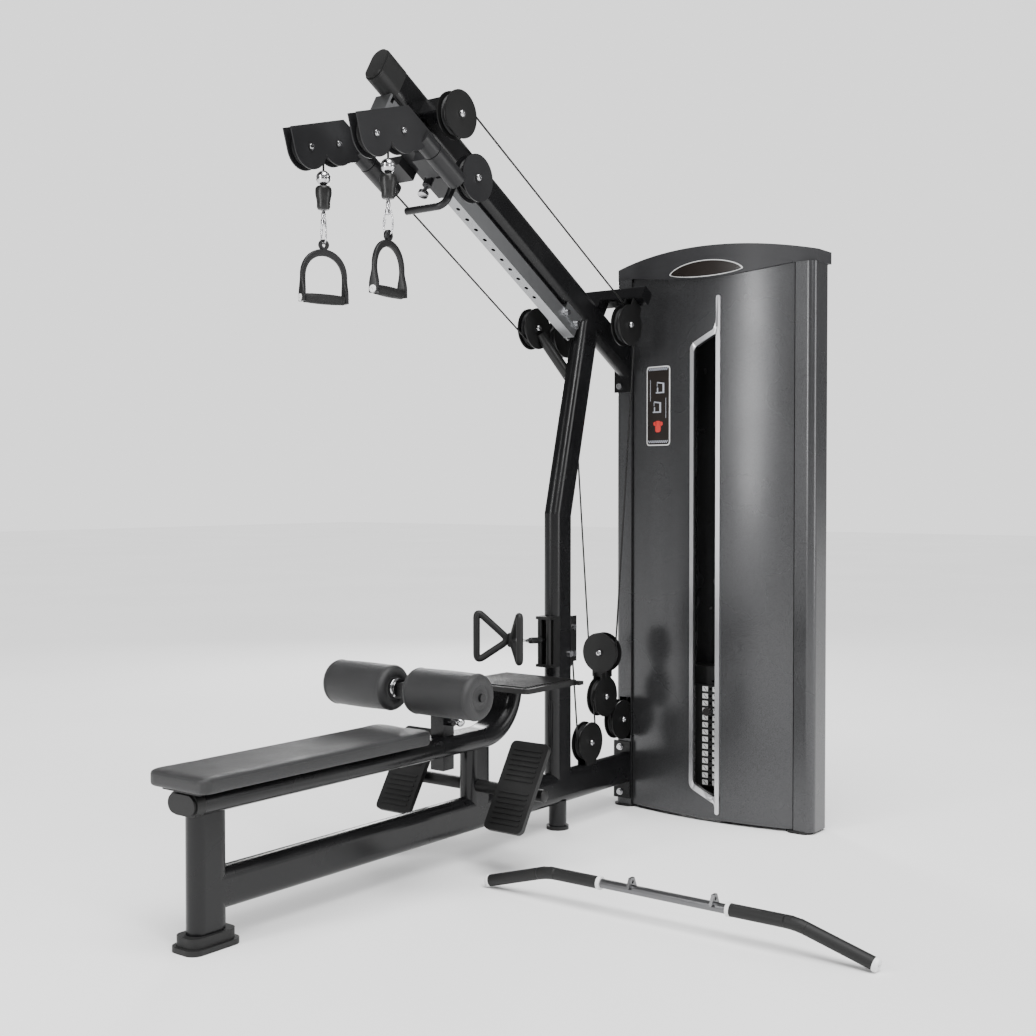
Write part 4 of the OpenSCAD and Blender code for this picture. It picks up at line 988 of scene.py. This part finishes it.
def make_row_handle(m):
    """Two closed triangular loops joined at their apex, a hub, links and the cable stop."""
    apex = Vector((-0.257, 0, 0.660))
    parts = []
    for sign, word in ((1, "left"), (-1, "right")):
        a = math.radians(180 + sign * 51)
        out = Vector((math.cos(a), math.sin(a), 0)) * 0.112
        low, high = apex + out + Vector((0, 0, -0.069)), apex + out + Vector((0, 0, 0.096))
        root = apex + out * 0.06
        loop = rounded_path([root, high, low], 0.026)
        parts.append(tube("row_loop_" + word, loop, 0.0112, m["grip_rubber"], closed=True))
    hub = [(0, -0.023), (0.009, -0.023), (0.0125, -0.019), (0.0125, 0.019), (0.009, 0.023),
           (0, 0.023)]
    parts.append(revolved("row_hub", hub, apex, (0, 0, 1), m["handle_black"]))
    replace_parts(parts[2], "row_handle")
    for word, middle, length, side in (("first", (-0.226, 0, 0.6565), 0.026, (0, 0, 1)),
                                       ("second", (-0.190, 0, 0.652), 0.024, (0, 1, 0))):
        middle, side = Vector(middle), Vector(side)
        along = Vector((1, 0, -0.11)).normalized()
        oval = [middle + along * length * math.cos(a) + side * 0.0095 * math.sin(a)
                for a in turn_angles(40)]
        parts.append(tube("row_link_" + word, oval, 0.0033, m["bright_steel"], closed=True))
    shank = [(0, 0), (0.0045, 0), (0.0055, 0.004), (0.0055, 0.018), (0.0095, 0.020),
             (0.0105, 0.024), (0.0105, 0.058), (0.0095, 0.062), (0.0105, 0.066),
             (0.0105, 0.078), (0.008, 0.082), (0.0, 0.082)]
    parts.append(revolved("row_shank", shank, (-0.1775, 0, 0.6505), (1, 0, -0.07),
                          m["handle_black"]))
    belong(parts, "row_handle")


def make_bar_bends(m):
    """Grip rubber carried round the two bends of the loose bar."""
    for k, (end, kink) in enumerate(BAR_BENDS):
        p = Vector((BAR_X, kink, BAR_HIGH))
        down = (Vector((BAR_X, end, BAR_LOW)) - p).normalized()
        flat = Vector((0, math.copysign(1, kink - end), 0))
        start, finish = p + flat * 0.030, p + down * 0.030
        path = [quadratic(start, p, finish, i / 14) for i in range(15)]
        bend = tube(f"bar_bend_{k}", path, 0.0172, m["grip_rubber"], sides=28)
        belong([bend], "lat_bar")


def make_plugs(m):
    """Rubber plugs in both ends of the foot plates' cross bar."""
    plug = [(0, 0.0035), (0.0150, 0.0035), (0.0182, 0.0015), (0.0190, 0.0), (0.0165, -0.001),
            (0.0162, -0.012), (0, -0.012)]
    for sign, word in ((1, "left"), (-1, "right")):
        part = revolved("crossbar_plug_" + word, plug, (-0.461, sign * 0.280, 0.228),
                        (0, sign, 0), m["feet_rubber"])
        belong([part], "frame")


# ---------------------------------------------------------------- stage and light
def make_stage():
    mesh = bpy.data.meshes.new("floor")
    far = 30
    mesh.from_pydata([(-far, -far, 0), (far, -far, 0), (far, far, 0), (-far, far, 0)], [],
                     [(0, 1, 2, 3)])
    floor = bpy.data.objects.new("floor", mesh)
    bpy.context.collection.objects.link(floor)
    mat, tree, shader = new_material("floor_paper")
    vector = object_coords(tree)
    tree.links.new(blend_colours(tree, noise(tree, vector, 0.6), (0.86, 0.86, 0.86),
                                 (0.9, 0.9, 0.9)), shader.inputs["Base Color"])
    shader.inputs["Roughness"].default_value = 0.9
    shader.inputs["Specular IOR Level"].default_value = 0.1
    floor.data.materials.append(mat)


def area_light(name, at, target, size, power):
    data = bpy.data.lights.new(name, "AREA")
    data.shape = "RECTANGLE"
    data.size, data.size_y = size
    data.energy = power
    light = bpy.data.objects.new(name, data)
    light.location = at
    light.rotation_euler = (Vector(target) - Vector(at)).to_track_quat("-Z", "Y").to_euler()
    bpy.context.collection.objects.link(light)


def make_lights():
    """Pale studio: a bright backdrop that only the camera sees, a dim sky, four soft boxes, sun."""
    world = bpy.data.worlds.new("studio")
    world.use_nodes = True
    tree = world.node_tree
    shown = tree.nodes["Background"]
    shown.inputs["Color"].default_value = (1, 1, 1, 1)
    shown.inputs["Strength"].default_value = 1.6
    lighting = node(tree, "ShaderNodeBackground", Strength=0.22)
    rays = tree.nodes.new("ShaderNodeLightPath")
    mix = tree.nodes.new("ShaderNodeMixShader")
    tree.links.new(rays.outputs["Is Camera Ray"], mix.inputs["Fac"])
    tree.links.new(lighting.outputs[0], mix.inputs[1])
    tree.links.new(shown.outputs[0], mix.inputs[2])
    tree.links.new(mix.outputs[0], tree.nodes["World Output"].inputs["Surface"])
    bpy.context.scene.world = world
    middle = (-0.5, -0.2, 0.9)
    area_light("key", (-2.6, -4.4, 4.2), middle, (0.8, 2.2), 120)
    area_light("side", (1.6, -5.2, 2.0), (0.3, -0.4, 1.0), (1.6, 3.0), 90)
    area_light("front", (-4.6, 0.6, 2.2), middle, (0.6, 2.4), 90)
    area_light("back", (3.4, 3.4, 3.0), (0.2, 0.0, 1.0), (1.0, 2.4), 120)
    sun = bpy.data.lights.new("sun", "SUN")
    sun.energy = 5.0
    sun.angle = math.radians(50)
    lamp = bpy.data.objects.new("sun", sun)
    lamp.rotation_euler = (math.radians(14), math.radians(-12), 0)
    bpy.context.collection.objects.link(lamp)


def main():
    make_camera()
    materials = make_materials()
    paint_nodes(materials)
    make_pads(materials)
    make_cables(materials)
    for side, y in (("left", ARM_Y), ("right", -ARM_Y)):
        make_stop(side, y, materials)
        make_stirrup(side, y, materials)
    make_bolts(materials)
    make_roller_cones(materials)
    make_bar_rings(materials)
    make_placard(materials)
    make_badge(materials)
    make_trim(materials)
    make_row_handle(materials)
    make_bar_bends(materials)
    make_plugs(materials)
    make_stack_labels(materials)
    make_stage()
    make_lights()


main()
